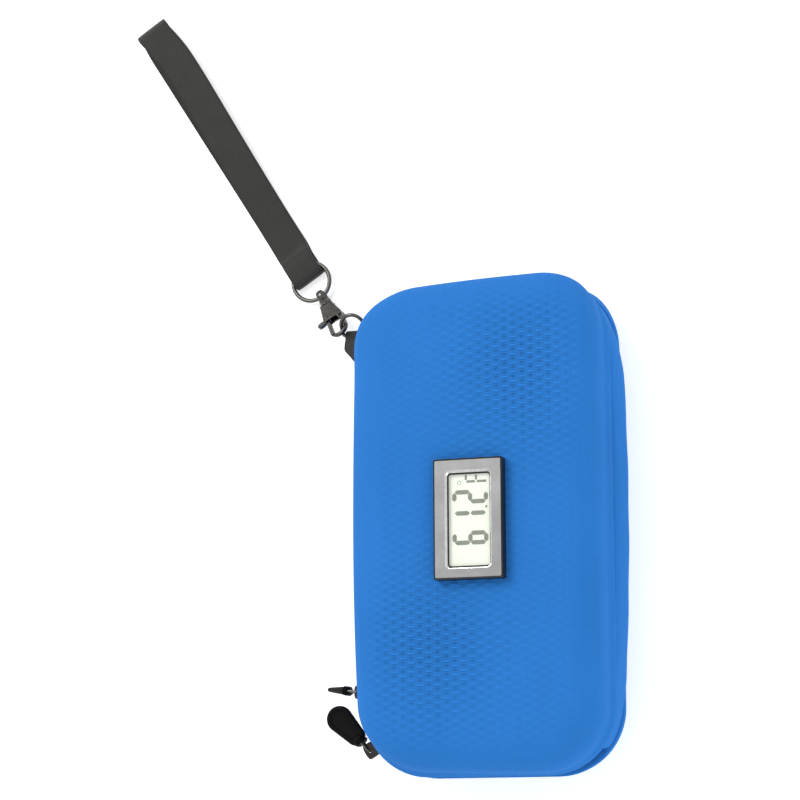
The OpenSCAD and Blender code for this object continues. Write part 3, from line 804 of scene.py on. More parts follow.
# inset, height and bow from the wall's top out over the rolled lip
LIP = [(1.97, 15.2, 0.88), (1.84, 16.3, 0.74), (1.56, 17.3, 0.6), (1.16, 18.2, 0.44), (0.7, 19.0, 0.28),
       (0.3, 19.7, 0.12), (0.06, 20.3, 0.03), (0, 20.8, 0), (0.04, 21.25, 0), (0.2, 21.65, 0), (0.5, 21.9, 0),
       (0.95, 22.0, 0)]


def shell(name, node, front):
    """One moulded half: face, turned edge, wall, rolled lip, then back down inside."""
    opening = rect_ring(46.3, 26.7, 0.0) if front else rect_ring(46.0, 6.0, 0.0, 0.4)
    outside = edge_profile(EDGE_R, 18) + LIP
    inside = [(4.95, 22.0, 0), (5.0, 19.4, 0.2), (5.0, 18.2, 0.5)] + edge_profile(EDGE_R - 3, 12, True)
    top = face_rings(opening, 0.0, CORE_I, 10)[::-1]
    low = opening.copy()
    low[:, 2] = 3.0
    bottom = face_rings(low, 3.0, CORE_I, 10)
    rings = top + [rim(i, b, z) for i, z, b in outside + inside] + bottom
    uvs = unrolled(rings, len(top))
    # how strongly the pattern is pressed in, and so how strongly its painted highlight and shade show: less
    # at the edges, patchy over the face
    plan = np.concatenate([r[:, :2] for r in rings])
    z = np.concatenate([r[:, 2] for r in rings])
    x, y = plan[:, 0], plan[:, 1]
    fade = np.clip((12.0 - z) / 12.0, 0, 1) ** 1.5
    inset = np.minimum(CASE_W / 2 - np.abs(x), CASE_L / 2 - np.abs(y))
    fade = fade * np.clip((inset - 3) / 14.0, 0.12, 1)

    def spot(cx, cy, sx, sy):
        return np.exp(-((x - cx) / sx) ** 2 - ((y - cy) / sy) ** 2)

    patch = 0.08 + 0.80 * spot(-18, -50, 27, 28) + 0.85 * spot(20, 60, 25, 30)
    emboss = np.clip(fade * patch, 0.03, 1)
    return half_piece(name, node, rings, uvs, M["shell"], front, {"emboss": emboss})


def liner(name, node, front):
    """Foam lining with its knit face, softly rounded over the rim."""
    g = 0.05
    r = EDGE_R - 3 - g
    opening = rect_ring(53.0, 34.0, 0.0, 2.0) if front else rect_ring(46.0, 6.0, 0.0, 0.4)
    d = LINER_T
    outside = edge_profile(r, 10) + [(5.05, 18.2, 0.5), (5.05, 19.4, 0.2), (5.05, 21.9, 0), (5.05, 22.8, 0)]
    over = [(5.05 + d / 2 - d / 2 * math.cos(PI * k / 8), 22.8 + 1.2 * math.sin(PI * k / 8), 0)
            for k in range(1, 8)]
    inside = [(5.05 + d, 22.8, 0), (5.05 + d, 21.0, 0.1), (5.05 + d, 19.4, 0.2), (5.05 + d, 18.2, 0.5)] \
        + edge_profile(r - d, 10, True)
    z0, z1 = 3 + g, 3 + g + d
    a, b = opening.copy(), opening.copy()
    a[:, 2], b[:, 2] = z0, z1
    top = face_rings(a, z0, CORE_I, 10)[::-1]
    bottom = face_rings(b, z1, CORE_I, 10)
    rings = top + [rim(i, b, z) for i, z, b in outside + over + inside] + bottom
    uvs = unrolled(rings[::-1], len(bottom))[::-1]
    ob = half_piece(name, node, rings, uvs, M["lining"], front)
    return ob


shell("back_shell_skin", "back_shell", False)
shell("front_shell_skin", "front_shell", True)
liner("back_lining", "back_liner", False)
liner("front_lining", "front_liner", True)


# ---------------------------------------------------------------- bands round the rim

def plan_path(i, open_x=None, step=1.0):
    """The rim's outline at inset i, anticlockwise from the right, without what lies beyond open_x."""
    r = CORNER_R - i
    cx, cy = CORNER_C
    pts = []
    a0 = math.acos((open_x - cx) / r) if open_x else 0.0
    corners = ((1, 1, a0, PI / 2), (-1, 1, PI / 2, PI), (-1, -1, PI, 1.5 * PI),
               (1, -1, 1.5 * PI, 2 * PI - a0))
    for sx, sy, s, e in corners:
        for k in range(25):
            a = s + (e - s) * k / 24
            pts.append((sx * cx + r * math.cos(a), sy * cy + r * math.sin(a)))
    return resample(np.array(pts), step=step, closed=open_x is None)


def outward(path, closed):
    """Unit vectors square to a plan path, away from the case."""
    t = np.roll(path, -1, 0) - np.roll(path, 1, 0) if closed else np.gradient(path, axis=0)
    t /= np.linalg.norm(t, axis=1)[:, None]
    return np.stack([t[:, 1], -t[:, 0]], 1)


def band(name, node, mat, i, section, front, open_x=None):
    """Sweeps a closed (outward, z) section round the rim, with cloth UVs."""
    closed = open_x is None
    path = plan_path(i, open_x)
    out = outward(path, closed)
    sec = np.asarray(section, float)
    rings = []
    for p, o in zip(path, out):
        z = CASE_H - sec[:, 1] if front else sec[:, 1]
        rings.append(np.column_stack([p[0] + sec[:, 0] * o[0], p[1] + sec[:, 0] * o[1], z]))
    verts, faces = loft(rings, close_v=closed)
    s = arc_len(path, closed)
    v = arc_len(sec, True)
    uv = section_uv(s, v - v[-1] / 2, len(rings), len(sec), closed)
    ob = mesh_obj(name, verts, faces, mat, uv=uv, sharp=70)
    return settle(ob, node, "case_lid" if front else "case_base")


def stitches(name, places, dirs, normals, length, r, mat, body):
    """Short thread bars laid on a surface, all in one piece."""
    parts = []
    for p, d, nrm in zip(places, dirs, normals):
        path = [p - d * length / 2 - nrm * r * 1.3, p - d * length * 0.38 + nrm * r * 0.2, p + nrm * r * 0.55,
                p + d * length * 0.38 + nrm * r * 0.2, p + d * length / 2 - nrm * r * 1.3]
        side = np.cross(nrm, d)
        rings = []
        for q, k in zip(path, (0.5, 0.9, 1.0, 0.9, 0.5)):
            a = np.linspace(0, 2 * PI, 6, endpoint=False)
            rings.append(q + np.outer(np.cos(a) * r * k, side) + np.outer(np.sin(a) * r * k, nrm))
        parts.append(loft(rings))
    verts, faces = join_parts(parts)
    uv = []
    for f in faces:
        uv += [(verts[i][0] + verts[i][2], verts[i][1]) for i in f]
    ob = mesh_obj(name, verts, faces, mat, uv=uv)
    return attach(ob, body)


def soft_section(x0, x1, z0, z1, r, n=4):
    """Rounded box section between outward offsets and heights."""
    s = pill_section(x1 - x0, z1 - z0, n, r)
    return s + np.array([(x0 + x1) / 2, (z0 + z1) / 2])


for front in (False, True):
    side = "front" if front else "back"
    band(f"{side}_rim_binding", f"{side}_binding", M["binding"], 4.45,
         soft_section(-0.55, 0.55, 22.05, 24.0, 0.5, 5), front)
    band(f"{side}_tape", f"{side}_zip_tape", M["tape"], 3.45,
         soft_section(-0.38, 0.38, 22.05, 27.25, 0.3, 4), front, open_x=OPEN_X)


def coil(name, node, front):
    """Nylon coil of one side of the zip: a flattened helix, meshing with the other half a pitch on."""
    pitch = 1.5
    path = plan_path(2.35, OPEN_X, 0.25)
    s = arc_len(path)
    out = outward(path, False)
    turns = int(s[-1] / pitch)
    per = 12
    n = turns * per
    u = np.linspace(pitch * 0.5, pitch * (turns - 0.5), n)
    if front:
        u = u + pitch / 2
        u = u[u < s[-1] - 0.2]
    px, py = np.interp(u, s, path[:, 0]), np.interp(u, s, path[:, 1])
    ox, oy = np.interp(u, s, out[:, 0]), np.interp(u, s, out[:, 1])
    a = 2 * PI * (u / pitch) + (PI if front else 0)
    rx, rz = 0.42, 1.12
    z = 26.95 + rz * np.cos(a)
    if front:
        z = CASE_H - z
    line = np.stack([px + ox * rx * np.sin(a), py + oy * rx * np.sin(a), z], 1)
    # frames from the helix's own axis, so that the thread doesn't twist
    t = np.gradient(line, axis=0)
    t /= np.linalg.norm(t, axis=1)[:, None]
    axis = np.stack([px, py, np.full(len(u), (CASE_H - 26.95) if front else 26.95)], 1)
    radial = line - axis
    radial -= t * np.sum(radial * t, 1)[:, None]
    radial /= np.linalg.norm(radial, axis=1)[:, None]
    side = np.cross(t, radial)
    r = 0.27
    w = np.linspace(0, 2 * PI, 6, endpoint=False)
    rings = [line[k] + np.outer(np.cos(w) * r, radial[k]) + np.outer(np.sin(w) * r, side[k])
             for k in range(len(u))]
    helix = loft(rings)
    # the cord that the coil is sewn round, and its sewing line on the tape
    run = np.arange(0.3, s[-1] - 0.3, 1.0)
    core_path = np.stack([np.interp(run, s, path[:, 0]), np.interp(run, s, path[:, 1]),
                          np.full(len(run), 30.0 if front else 26.0)], 1)
    core = wire(core_path, 0.3, 6)
    verts, faces = join_parts([helix, core])
    ob = mesh_obj(name, verts, faces, M["coil"])
    return settle(ob, node, "case_lid" if front else "case_base")


coil("back_zip_coil", "back_zip_teeth", False)
coil("front_zip_coil", "front_zip_teeth", True)


def rim_stitches(name, i, z, front, pitch=3.2, length=2.1, r=0.16, thread="thread", open_x=None, flat=True):
    """A row of stitches round the rim, on a level face when flat, else on the outward one."""
    path = plan_path(i, open_x, pitch)
    out = outward(path, open_x is None)
    z = CASE_H - z if front else z
    places = [np.array([p[0], p[1], z]) for p in path]
    dirs = [np.array([-o[1], o[0], 0.0]) for o in out]
    up = np.array([0, 0, -1.0 if front else 1.0])
    normals = [up if flat else np.array([o[0], o[1], 0.0]) for o in out]
    return stitches(name, places, dirs, normals, length, r, M[thread], "case_lid" if front else "case_base")


for front in (False, True):
    side = "front" if front else "back"
    rim_stitches(f"{side}_rim_stitches", 4.45, 24.0, front)
    rim_stitches(f"{side}_tape_stitches", 3.07, 23.4, front, 2.6, 1.7, 0.14, "thread_blue", OPEN_X - 0.5,
                 False)
    rim_stitches(f"{side}_lip_stitches", 1.75, 22.0, front, 2.8, 1.9, 0.15, "thread_blue", OPEN_X)


def spine():
    """Fabric hinge along the right side: a soft panel that swells over the rims, drawn in at its ends."""
    # (inset from the rim, height) across the panel, in its middle and at its ends
    middle = [(1.5, 18.0), (0.5, 18.5), (-0.6, 19.3), (-1.45, 20.6), (-1.85, 22.2), (-1.85, 24.4),
              (-1.6, 26.8),
              (-1.15, 29.2), (-0.55, 31.4), (0.15, 33.0), (0.95, 33.9), (1.9, 34.3)]
    ends = [(1.0 - 0.15 * math.sin(PI * k / 11), 22.1 + 11.8 * k / 11) for k in range(12)]
    across = 4
    mid, end = (catmull(np.array(q), across) for q in (middle, ends))
    cx, cy = CORNER_C
    # plan points and outward directions: up the lower corner, the side and the upper corner

    def corner(a0, a1, y0):
        return [(cx + CORNER_R * math.cos(a), y0 + CORNER_R * math.sin(a), math.cos(a), math.sin(a))
                for a in np.radians(np.linspace(a0, a1, 26))]

    base_line = corner(-44, 0, -cy)
    base_line += [(cx + CORNER_R, y, 1.0, 0.0) for y in np.linspace(-cy, cy, 92)[1:-1]]
    base_line += corner(0, 44, cy)
    rows = []
    for x, y, nx, ny in base_line:
        k = min(max((abs(y) - 60.0) / 27.0, 0), 1)
        k = k * k * (3 - 2 * k)
        # fullest a little above the middle of the side
        swell = (1.5 + max(3.2 * (1 - ((y - 14.0) / 88.0) ** 2), 0.1)) / 3.35
        tuck = 2.4 * min(max((abs(y) - 88.6) / 3.0, 0), 1) ** 2
        row = []
        for (i0, z0), (i1, z1) in zip(mid, end):
            i0 = 1.5 - (1.5 - i0) * swell
            inset = i0 * (1 - k) + i1 * k + tuck + 0.10 * math.sin(y * 0.21 + z0 * 0.3) * (1 - k)
            row.append((x - nx * inset, y - ny * inset, z0 * (1 - k) + z1 * k))
        rows.append(row)
    outer = np.array(rows)
    n_y, n_z = outer.shape[:2]
    out = np.array([(nx, ny, 0.0) for _, _, nx, ny in base_line])
    inner = outer - 0.5 * out[:, None, :]
    verts = np.concatenate([outer.reshape(-1, 3), inner.reshape(-1, 3)])
    faces, uv = [], []
    base = n_y * n_z
    along = arc_len(outer[:, n_z // 2])
    girth = arc_len(mid)

    def quad(*corners):
        faces.append(corners)
        uv.extend([(along[(q % base) // n_z], girth[(q % base) % n_z]) for q in corners])

    for j in range(n_y - 1):
        for i in range(n_z - 1):
            a = j * n_z + i
            quad(a, a + n_z, a + n_z + 1, a + 1)
            quad(base + a, base + a + 1, base + a + n_z + 1, base + a + n_z)
    for j in range(n_y - 1):
        a, b = j * n_z, j * n_z + n_z - 1
        quad(a, base + a, base + a + n_z, a + n_z)
        quad(b, b + n_z, base + b + n_z, base + b)
    for i in range(n_z - 1):
        a, b = i, (n_y - 1) * n_z + i
        quad(a, a + 1, base + a + 1, base + a)
        quad(b, base + b, base + b + 1, b + 1)
    plain = {"emboss": [0.03] * len(verts)}
    ob = mesh_obj("spine_fabric", verts, faces, M["shell"], uv=uv, attrs=plain, sharp=60)
    recalc(ob)
    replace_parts(ob, "spine_panel")
    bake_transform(ob)


spine()


def zip_stop(sy):
    """Folded fabric end over the last of the coil, with a bar tack."""
    cx, cy = CORNER_C
    inner_r, outer_r = CORNER_R - 3.8, CORNER_R - 1.25
    pts = [(cx + r * math.cos(a), cy + r * math.sin(a)) for r, sweep_deg in (
        (inner_r, (20.5, 15.5)), (outer_r, (14.0, 32.0))) for a in np.radians(np.linspace(*sweep_deg, 7))]
    outline = np.array(pts)
    outline[:, 1] *= sy
    verts, faces = plate(outline, 22.1, 27.25, 0.4, 3)
    uv = [(verts[i][0] + verts[i][1], verts[i][2]) for f in faces for i in f]
    end = "top" if sy > 0 else "bottom"
    ob = mesh_obj(f"zip_end_{end}", verts, faces, M["binding"], uv=uv, sharp=50)
    settle(ob, f"zip_stop_{end}", "case_base")
    a = math.radians(23)
    out = np.array([math.cos(a), sy * math.sin(a), 0.0])
    foot = np.array([cx, sy * cy, 0.0]) + out * outer_r
    places = [foot + np.array([0, 0, z]) for z in np.arange(22.9, 26.8, 0.55)]
    d = np.array([-out[1], out[0], 0.0])
    count = len(places)
    stitches(f"zip_end_{end}_tack", places, [d] * count, [out] * count, 2.6, 0.2, M["thread"], "case_base")


zip_stop(1)
zip_stop(-1)


# ---------------------------------------------------------------- inside: pen loops and mesh pocket

def pen_loops():
    """Ribbed elastic band sewn down between three loops."""
    r, t, floor = 7.6 + 0.35, 0.7, 6.55
    cz = floor + 8.3
    line = [(-30.0, floor + 0.4)]
    for k in (-1, 0, 1):
        cx = 19.0 * k
        line.append((cx - 5.6, floor + 0.42))
        for a in np.linspace(-135, -405, 25):
            w = math.radians(a)
            line.append((cx + r * math.cos(w), cz + r * math.sin(w)))
        line.append((cx + 5.6, floor + 0.42))
    line.append((30.0, floor + 0.4))
    p2 = catmull(line, 3)
    path = np.column_stack([p2[:, 0], np.full(len(p2), 16.0), p2[:, 1]])
    seg = np.gradient(p2, axis=0)
    seg /= np.linalg.norm(seg, axis=1)[:, None]
    nrm = np.column_stack([-seg[:, 1], np.zeros(len(seg)), seg[:, 0]])
    across = np.array([0, 1.0, 0])
    ribs = 17
    grid = np.linspace(-10, 10, ribs * 4 + 1)
    prof = np.concatenate([
        np.column_stack([grid, t / 2 - 0.1 + 0.1 * np.cos(grid / 20 * 2 * PI * ribs)]),
        np.column_stack([grid[::-1], -t / 2 + 0.1 - 0.1 * np.cos(grid[::-1] / 20 * 2 * PI * ribs)])])
    rings = [path[k] + prof[:, :1] * across + prof[:, 1:2] * nrm[k] for k in range(len(path))]
    verts, faces = loft(rings)
    s = arc_len(path)
    v = np.concatenate([prof[:, 0], prof[:1, 0]])
    uv = section_uv(s, v, len(rings), len(prof))
    ob = mesh_obj("pen_loop_elastic", verts, faces, M["elastic"], uv=uv, sharp=60)
    settle(ob, "pen_loops", "case_base")
    places, dirs = [], []
    for x in (-28.6, -9.5, 9.5, 28.6):
        for y in np.arange(7.2, 25.4, 1.5):
            places.append(np.array([x, y, floor + 0.78]))
            dirs.append(np.array([0.35, 1.0, 0]) / 1.06)
    up = [np.array([0, 0, 1.0])] * len(places)
    stitches("pen_loop_stitches", places, dirs, up, 1.3, 0.18, M["thread"], "case_base")


pen_loops()


def inside_plan(x, y, i):
    """True where a point lies inside the rim's outline at inset i."""
    hx, hy = CASE_W / 2 - i, CASE_L / 2 - i
    r = CORNER_R - i
    dx, dy = max(abs(x) - (hx - r), 0), max(abs(y) - (hy - r), 0)
    return abs(x) <= hx and abs(y) <= hy and math.hypot(dx, dy) <= r


def pocket():
    """Knitted net with six-sided holes, and its ribbed elastic hem gathered along the mouth."""
    pitch, cord = 2.5, 0.36
    parts = []
    dy = pitch * math.sqrt(3) / 2
    a = np.radians(np.arange(6) * 60 + 30)
    ro = pitch / math.sqrt(3)
    # size and height round a cell's wall: its outside, the lower face, the hole, the upper face
    wall = ((ro, 33.36), (ro - 0.1, 33.22), (ro - cord, 33.30), (ro - cord, 33.62), (ro - 0.1, 33.70),
            (ro, 33.56))
    for j in range(int((20 + 92) / dy) + 2):
        y = 20.6 - j * dy
        for k in range(-20, 21):
            x = (k + 0.5 * (j % 2)) * pitch
            if not inside_plan(x, y, 9.1):
                continue
            sag = 0.10 * math.sin(x * 0.12 + 1) * math.sin(y * 0.1)
            rings = [np.column_stack([x + q * np.cos(a), y + q * np.sin(a), np.full(6, z + sag)]) for q,
                     z in wall]
            parts.append(loft(rings, cap=False))
    verts, faces = join_parts(parts)
    net = mesh_obj("pocket_net", verts, faces, M["net"], uv=plan_uv(verts, faces))
    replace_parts(net, "mesh_pocket")
    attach(net, "case_lid")
    # binding over the net's sewn edge, in order from the left end of the mouth round to the right one
    sewn = np.array([p for p in plan_path(9.0, None, 1.2) if p[1] <= 21.5])
    ang = np.arctan2(sewn[:, 1] + 20, sewn[:, 0])
    ang = np.where(ang > PI / 2, ang - 2 * PI, ang)
    run = sewn[np.argsort(ang)]
    line = np.column_stack([run, np.full(len(run), 33.5)])
    rings = sweep(line, pill_section(1.7, 0.9, 4))
    verts, faces = loft(rings)
    s = arc_len(line)
    uv = [(s[min(i // 16, len(s) - 1)], (i % 16) * 0.35) for f in faces for i in f]
    ob = mesh_obj("pocket_binding", verts, faces, M["binding"], uv=uv, sharp=60)
    settle(ob, None, "case_lid")
    # the cut is 88 x 112 mm with two corners rounded at 19 mm, holes not taken off
    # hem
    xs = np.linspace(-43.6, 43.6, 175)
    prof_y = np.linspace(20.1, 25.0, 21)
    rows = []
    for x in xs:
        gather = 0.16 * math.sin(x * 2.1) + 0.07 * math.sin(x * 5.3 + 1)
        rows.append([])
        for y in prof_y:
            rib = 0.52 + 0.08 * math.cos((y - 20.1) / 4.9 * 2 * PI * 4)
            rows[-1].append((x, y, 33.5 - rib + gather * math.sin(PI * (y - 20.1) / 4.9) * 0.8))
    under = np.array(rows)
    over = under.copy()
    over[:, :, 2] += 1.05
    verts = np.concatenate([under.reshape(-1, 3), over.reshape(-1, 3)])
    faces = []
    ny, base = len(prof_y), len(xs) * len(prof_y)
    for j in range(len(xs) - 1):
        for k in range(ny - 1):
            a = j * ny + k
            faces += [(a, a + 1, a + ny + 1, a + ny),
                      (base + a, base + a + ny, base + a + ny + 1, base + a + 1)]
        a, b = j * ny, j * ny + ny - 1
        faces += [(a, a + ny, base + a + ny, base + a), (b, base + b, base + b + ny, b + ny)]
    for k in range(ny - 1):
        a, b = k, (len(xs) - 1) * ny + k
        faces += [(a, base + a, base + a + 1, a + 1), (b, b + 1, base + b + 1, base + b)]
    hem = mesh_obj("pocket_elastic", verts, faces, M["elastic"], uv=plan_uv(verts, faces),
                   sharp=60)
    settle(hem, "pocket_hem", "case_lid")
    places = [np.array([x, 21.0, 32.92]) for x in np.arange(-42, 42.1, 2.4)]
    along, down = np.array([1.0, 0, 0]), np.array([0, 0, -1.0])
    count = len(places)
    stitches("pocket_stitches", places, [along] * count, [down] * count, 1.6, 0.16, M["thread"], "case_lid")


pocket()


# ---------------------------------------------------------------- temperature display

def thermometer():
    """The display's housing, face, bevel, gasket and window, each from rounded rectangles."""
    def stack(name, node, rows, mat, closed=True, sharp=35):
        rings = [rrect(l, w, r, z, 7, cx[0] if cx else 0, cy) for l, w, r, z, cy, *cx in rows]
        verts, faces = loft(rings, close_v=closed)
        ob = mesh_obj(name, verts, faces, mat, sharp=sharp)
        settle(ob, node, "case_lid")

    # housing: battery slot, bottom, body, flange with a softened edge, bezel step, well, inner floor
    stack("display_housing", "thermo_housing", [
        (31.1, 13.2, 0.4, 43.2, 2.05), (45.2, 25.6, 0.8, 43.2, 0), (45.8, 26.2, 1.0, 43.5, 0),
        (45.8, 26.2, 1.0, 56.05, 0),
        (47.4, 28.0, 0.7, 56.05, 0), (48.0, 28.6, 0.8, 56.35, 0), (48.0, 28.6, 0.8, 60.4, 0),
        (47.86, 28.46, 0.75, 60.66, 0),
        (47.5, 28.1, 0.65, 60.76, 0), (47.1, 27.7, 0.6, 60.7, 0), (47.02, 27.62, 0.6, 60.22, 0),
        (41.2, 22.0, 2.0, 60.2, 0),
        (41.2, 22.0, 2.0, 57.8, 0), (42.8, 23.4, 0.8, 57.8, 0), (42.8, 23.4, 0.8, 45.2, 0),
        (31.1, 15.6, 0.4, 45.2, 2.05),
        (31.1, 13.2, 0.4, 44.3, 2.05)], M["plastic"])
    # face frame: outer chamfer, flat, bright bevel down to the window
    stack("display_face", "thermo_face", [
        (46.7, 27.3, 0.6, 60.25, 0), (46.7, 27.3, 0.6, 60.86, 0), (46.56, 27.16, 0.55, 61.0, 0),
        (46.2, 26.8, 0.5, 61.0, 0),
        (39.6, 19.7, 2.3, 61.0, -0.3, 0.1), (39.2, 19.3, 2.2, 61.0, -0.3, 0.1),
        (39.0, 19.1, 2.1, 60.6, -0.3, 0.1),
        (39.0, 19.1, 2.1, 60.25, -0.3, 0.1)], M["face"], sharp=14)
    # polished bevel round the window, then a black gasket inside it
    stack("display_bevel", None, [
        (39.3, 19.4, 2.2, 60.3, -0.3, 0.1), (39.2, 19.3, 2.2, 61.0, -0.3, 0.1),
        (39.0, 19.1, 2.1, 61.08, -0.3, 0.1),
        (38.7, 18.8, 2.0, 61.06, -0.3, 0.1), (37.5, 17.7, 1.4, 60.5, -0.5, 0.3),
        (37.4, 17.6, 1.4, 60.3, -0.5, 0.3)],
        M["trim"], sharp=30)
    stack("display_gasket", None, [
        (37.7, 17.9, 1.4, 60.25, -0.5, 0.3), (37.6, 17.8, 1.4, 60.46, -0.5, 0.3),
        (36.5, 17.0, 1.0, 60.3, -0.6, 0.5),
        (36.3, 16.8, 0.9, 60.2, -0.6, 0.5)], M["plastic"], sharp=30)
    # window with a rounded edge
    stack("display_window", "thermo_lens", [
        (40.6, 21.4, 1.8, 59.2, 0), (41.0, 21.8, 1.9, 59.4, 0), (41.0, 21.8, 1.9, 59.95, 0),
        (40.6, 21.4, 1.8, 60.15, 0)],
        M["lens"], closed=False)


def figures():
    """Segments of the reading, which runs up the case: 61.2, a degree ring and the strokes of a unit."""
    top, mid, foot, wide, bar = -6.9, 0.5, 7.9, 5.6, 1.8
    z0, z1 = 58.92, 59.08
    parts = []

    def bars(y, segs):
        # each bar is a lozenge with clipped ends, between two ends on the centre lines of the strokes
        r, h, g = y + wide, bar / 2, 0.15
        ends = {"a": ((top + h, y + h), (top + h, r - h)), "b": ((top + h, r - h), (mid, r - h)),
                "c": ((mid, r - h), (foot - h, r - h)), "d": ((foot - h, y + h), (foot - h, r - h)),
                "e": ((mid, y + h), (foot - h, y + h)), "f": ((top + h, y + h), (mid, y + h)),
                "g": ((mid, y + h), (mid, r - h))}
        for key in segs:
            p, q = (np.array(e) for e in ends[key])
            d = (q - p) / np.linalg.norm(q - p)
            n = np.array([-d[1], d[0]])
            p, q = p + d * g, q - d * g
            w = h * 0.94
            outline = [p, p + (d + n) * w, q - (d - n) * w, q, q - (d + n) * w, p + (d - n) * w]
            parts.append(plate(np.array(outline), z0, z1, 0.03, 1))

    for y, segs in ((-10.4, "acdefg"), (-2.5, "bc"), (5.9, "abged")):
        bars(y, segs)
    small = [((6.8, 4.1), (7.5, 5.1)), ((-0.9, 14.3), (2.5, 15.2)), ((3.3, 14.3), (7.2, 15.2)),
             ((-1.6, 15.4), (-0.8, 17.4)), ((2.6, 15.4), (3.4, 17.2))]
    for (xa, ya), (xb, yb) in small:
        parts.append(plate(np.array([(xa, ya), (xb, ya), (xb, yb), (xa, yb)]), z0, z1, 0.03, 1))
    ring = np.array([(-4.0 + 0.75 * math.cos(a), 14.4 + 0.75 * math.sin(a), 59.0)
                     for a in np.linspace(0, 2 * PI, 20, endpoint=False)])
    parts.append(wire(ring, 0.08, 6, closed=True))
    verts, faces = join_parts(parts)
    ob = mesh_obj("display_figures", verts, faces, M["ink"], smooth=False)
    settle(ob, "thermo_digits", "case_lid")


thermometer()
figures()

for node, key in (("thermo_lcd", "lcd"), ("thermo_zebra", "rubber"), ("thermo_pcb", "pcb"),
                  ("thermo_chip", "plastic"), ("cell_a", "cell"), ("cell_b", "cell"),
                  ("cell_contacts", "contact"),
                  ("thermo_sensor", "cell"), ("clip_left", "plastic"), ("clip_right", "plastic"),
                  ("battery_door", "plastic"), ("clasp_pin", "gunmetal"), ("gate_spring", "steel")):
    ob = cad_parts[node]
    if ob.material_slots:
        for s in ob.material_slots:
            s.material = M[key]
    else:
        ob.data.materials.append(M[key])


# ---------------------------------------------------------------- sliders, links and pulls

def slider(name, node, body, place):
    """Cast slider: two plates with turned edges, the post between them and an arched bail.
    place(x, y, z) puts (outward, along, height) into the frame."""
    def put(parts):
        v, f = parts
        return np.array([place(*p) for p in v]), f

    def upright(part):
        v, f = part
        return np.column_stack([v[:, 2], v[:, 0], v[:, 1]]), f

    def slab(x0, x1, half, hz, r=0.35):
        # plan outline of a plate: wide at the shoulders, narrow at the throat
        w = [(-half, -hz * 0.72), (-half * 0.86, -hz * 0.95), (-half * 0.2, -hz), (half * 0.7, -hz * 0.82),
             (half, -hz * 0.6),
             (half, hz * 0.6), (half * 0.7, hz * 0.82), (-half * 0.2, hz), (-half * 0.86, hz * 0.95),
             (-half, hz * 0.72)]
        return upright(plate(smooth_outline(w, 4), x0, x1, r, 3))

    post = smooth_outline([(-2, 0), (-1, -0.6), (1.2, -0.6), (2, 0), (1.2, 0.6), (-1, 0.6)], 4)
    parts = [put(slab(-1.2, 0.2, 5.2, 3.5, 0.4)), put(slab(-5.4, -4.3, 5.2, 3.3, 0.35)),
             put(upright(plate(post, -4.6, -1.0, 0.1, 2)))]
    # turned flanges along the outer plate's long edges
    for s in (-1, 1):
        line = catmull([(-1.3, -4.5, 2.55 * s), (-1.5, -2.5, 3.1 * s), (-1.55, 0.6, 3.15 * s),
                        (-1.4, 3.6, 2.6 * s)], 5)
        parts.append(put(wire(line, 0.42, 8, up=(1, 0, 0.01))))
    # bail: a stout plate with the link's hole through it
    edge = smooth_outline([(0.1, -2.7), (5.0, -2.75), (6.2, -2.2), (BAIL_OUT, 0.0), (6.2, 2.2), (5.0, 2.75),
                           (0.1, 2.7),
                           (0.05, 0.0)], 5)
    hole = edge - np.array([PIN_OUT, 0.0])
    hole = hole / np.linalg.norm(hole, axis=1)[:, None] * 0.72 + np.array([PIN_OUT, 0.0])
    rings = []
    for line, k, z in ((edge, 1.0, -0.6), (edge, 0.97, -0.85), (hole, 1.0, -0.85), (hole, 1.0, 0.85),
                       (edge, 0.97, 0.85),
                       (edge, 1.0, 0.6)):
        rings.append(np.column_stack([(line - [3, 0]) * k + [3, 0], np.full(len(line), z)]))
    parts.append(put(loft(rings[::-1], close_v=True)))
    verts, faces = join_parts(parts)
    ob = mesh_obj(name, verts, faces, M["slider"], sharp=45)
    return settle(ob, node, body)


SLIDER_Y = -64.85
B_ANG = math.radians(210.5)
slider("slider_upper_cast", "slider_a", "slider_upper", lambda x, y,
       z: (-CASE_W / 2 - x, SLIDER_Y + y, PART_Z + z))


def round_corner(x, y, z):
    """A slider's (outward, along, height) on the lower corner of the rim."""
    a = B_ANG + y / CORNER_R
    return (-CORNER_C[0] + (CORNER_R + x) * math.cos(a), -CORNER_C[1] + (CORNER_R + x) * math.sin(a),
            PART_Z + z)


slider("slider_lower_cast", "slider_b", "slider_lower", round_corner)

PIN_A = np.array([-CASE_W / 2 - PIN_OUT, SLIDER_Y, PART_Z])
PIN_B = np.array([-CORNER_C[0] + (CORNER_R + PIN_OUT) * math.cos(B_ANG),
                  -CORNER_C[1] + (CORNER_R + PIN_OUT) * math.sin(B_ANG), PART_Z])


def mat_at(origin, rot):
    m = np.eye(4)
    m[:3, :3] = np.array(rot.to_3x3())
    m[:3, 3] = origin
    return m


ROT_A = Matrix.Rotation(math.radians(173), 4, "Z") @ Matrix.Rotation(math.radians(8), 4, "Y")
ROT_B = Matrix.Rotation(math.radians(135), 4, "Z")


def link(name, node, body, m):
    """Bent wire link, pinned in the bail."""
    line = catmull([(LINK_L, 0, 2.05), (3.2, 0, 2.05), (0.9, 0, 2.05), (0.12, 0, 1.75), (0, 0, 0.9),
                    (0, 0, 0), (0, 0, -0.9),
                    (0.12, 0, -1.75), (0.9, 0, -2.05), (3.2, 0, -2.05), (LINK_L, 0, -2.05)], 6)
    verts, faces = at(m, wire(line, 0.52, 12, up=(0, 1, 0)))
    ob = mesh_obj(name, verts, faces, M["gunmetal"])
    return settle(ob, node, body)


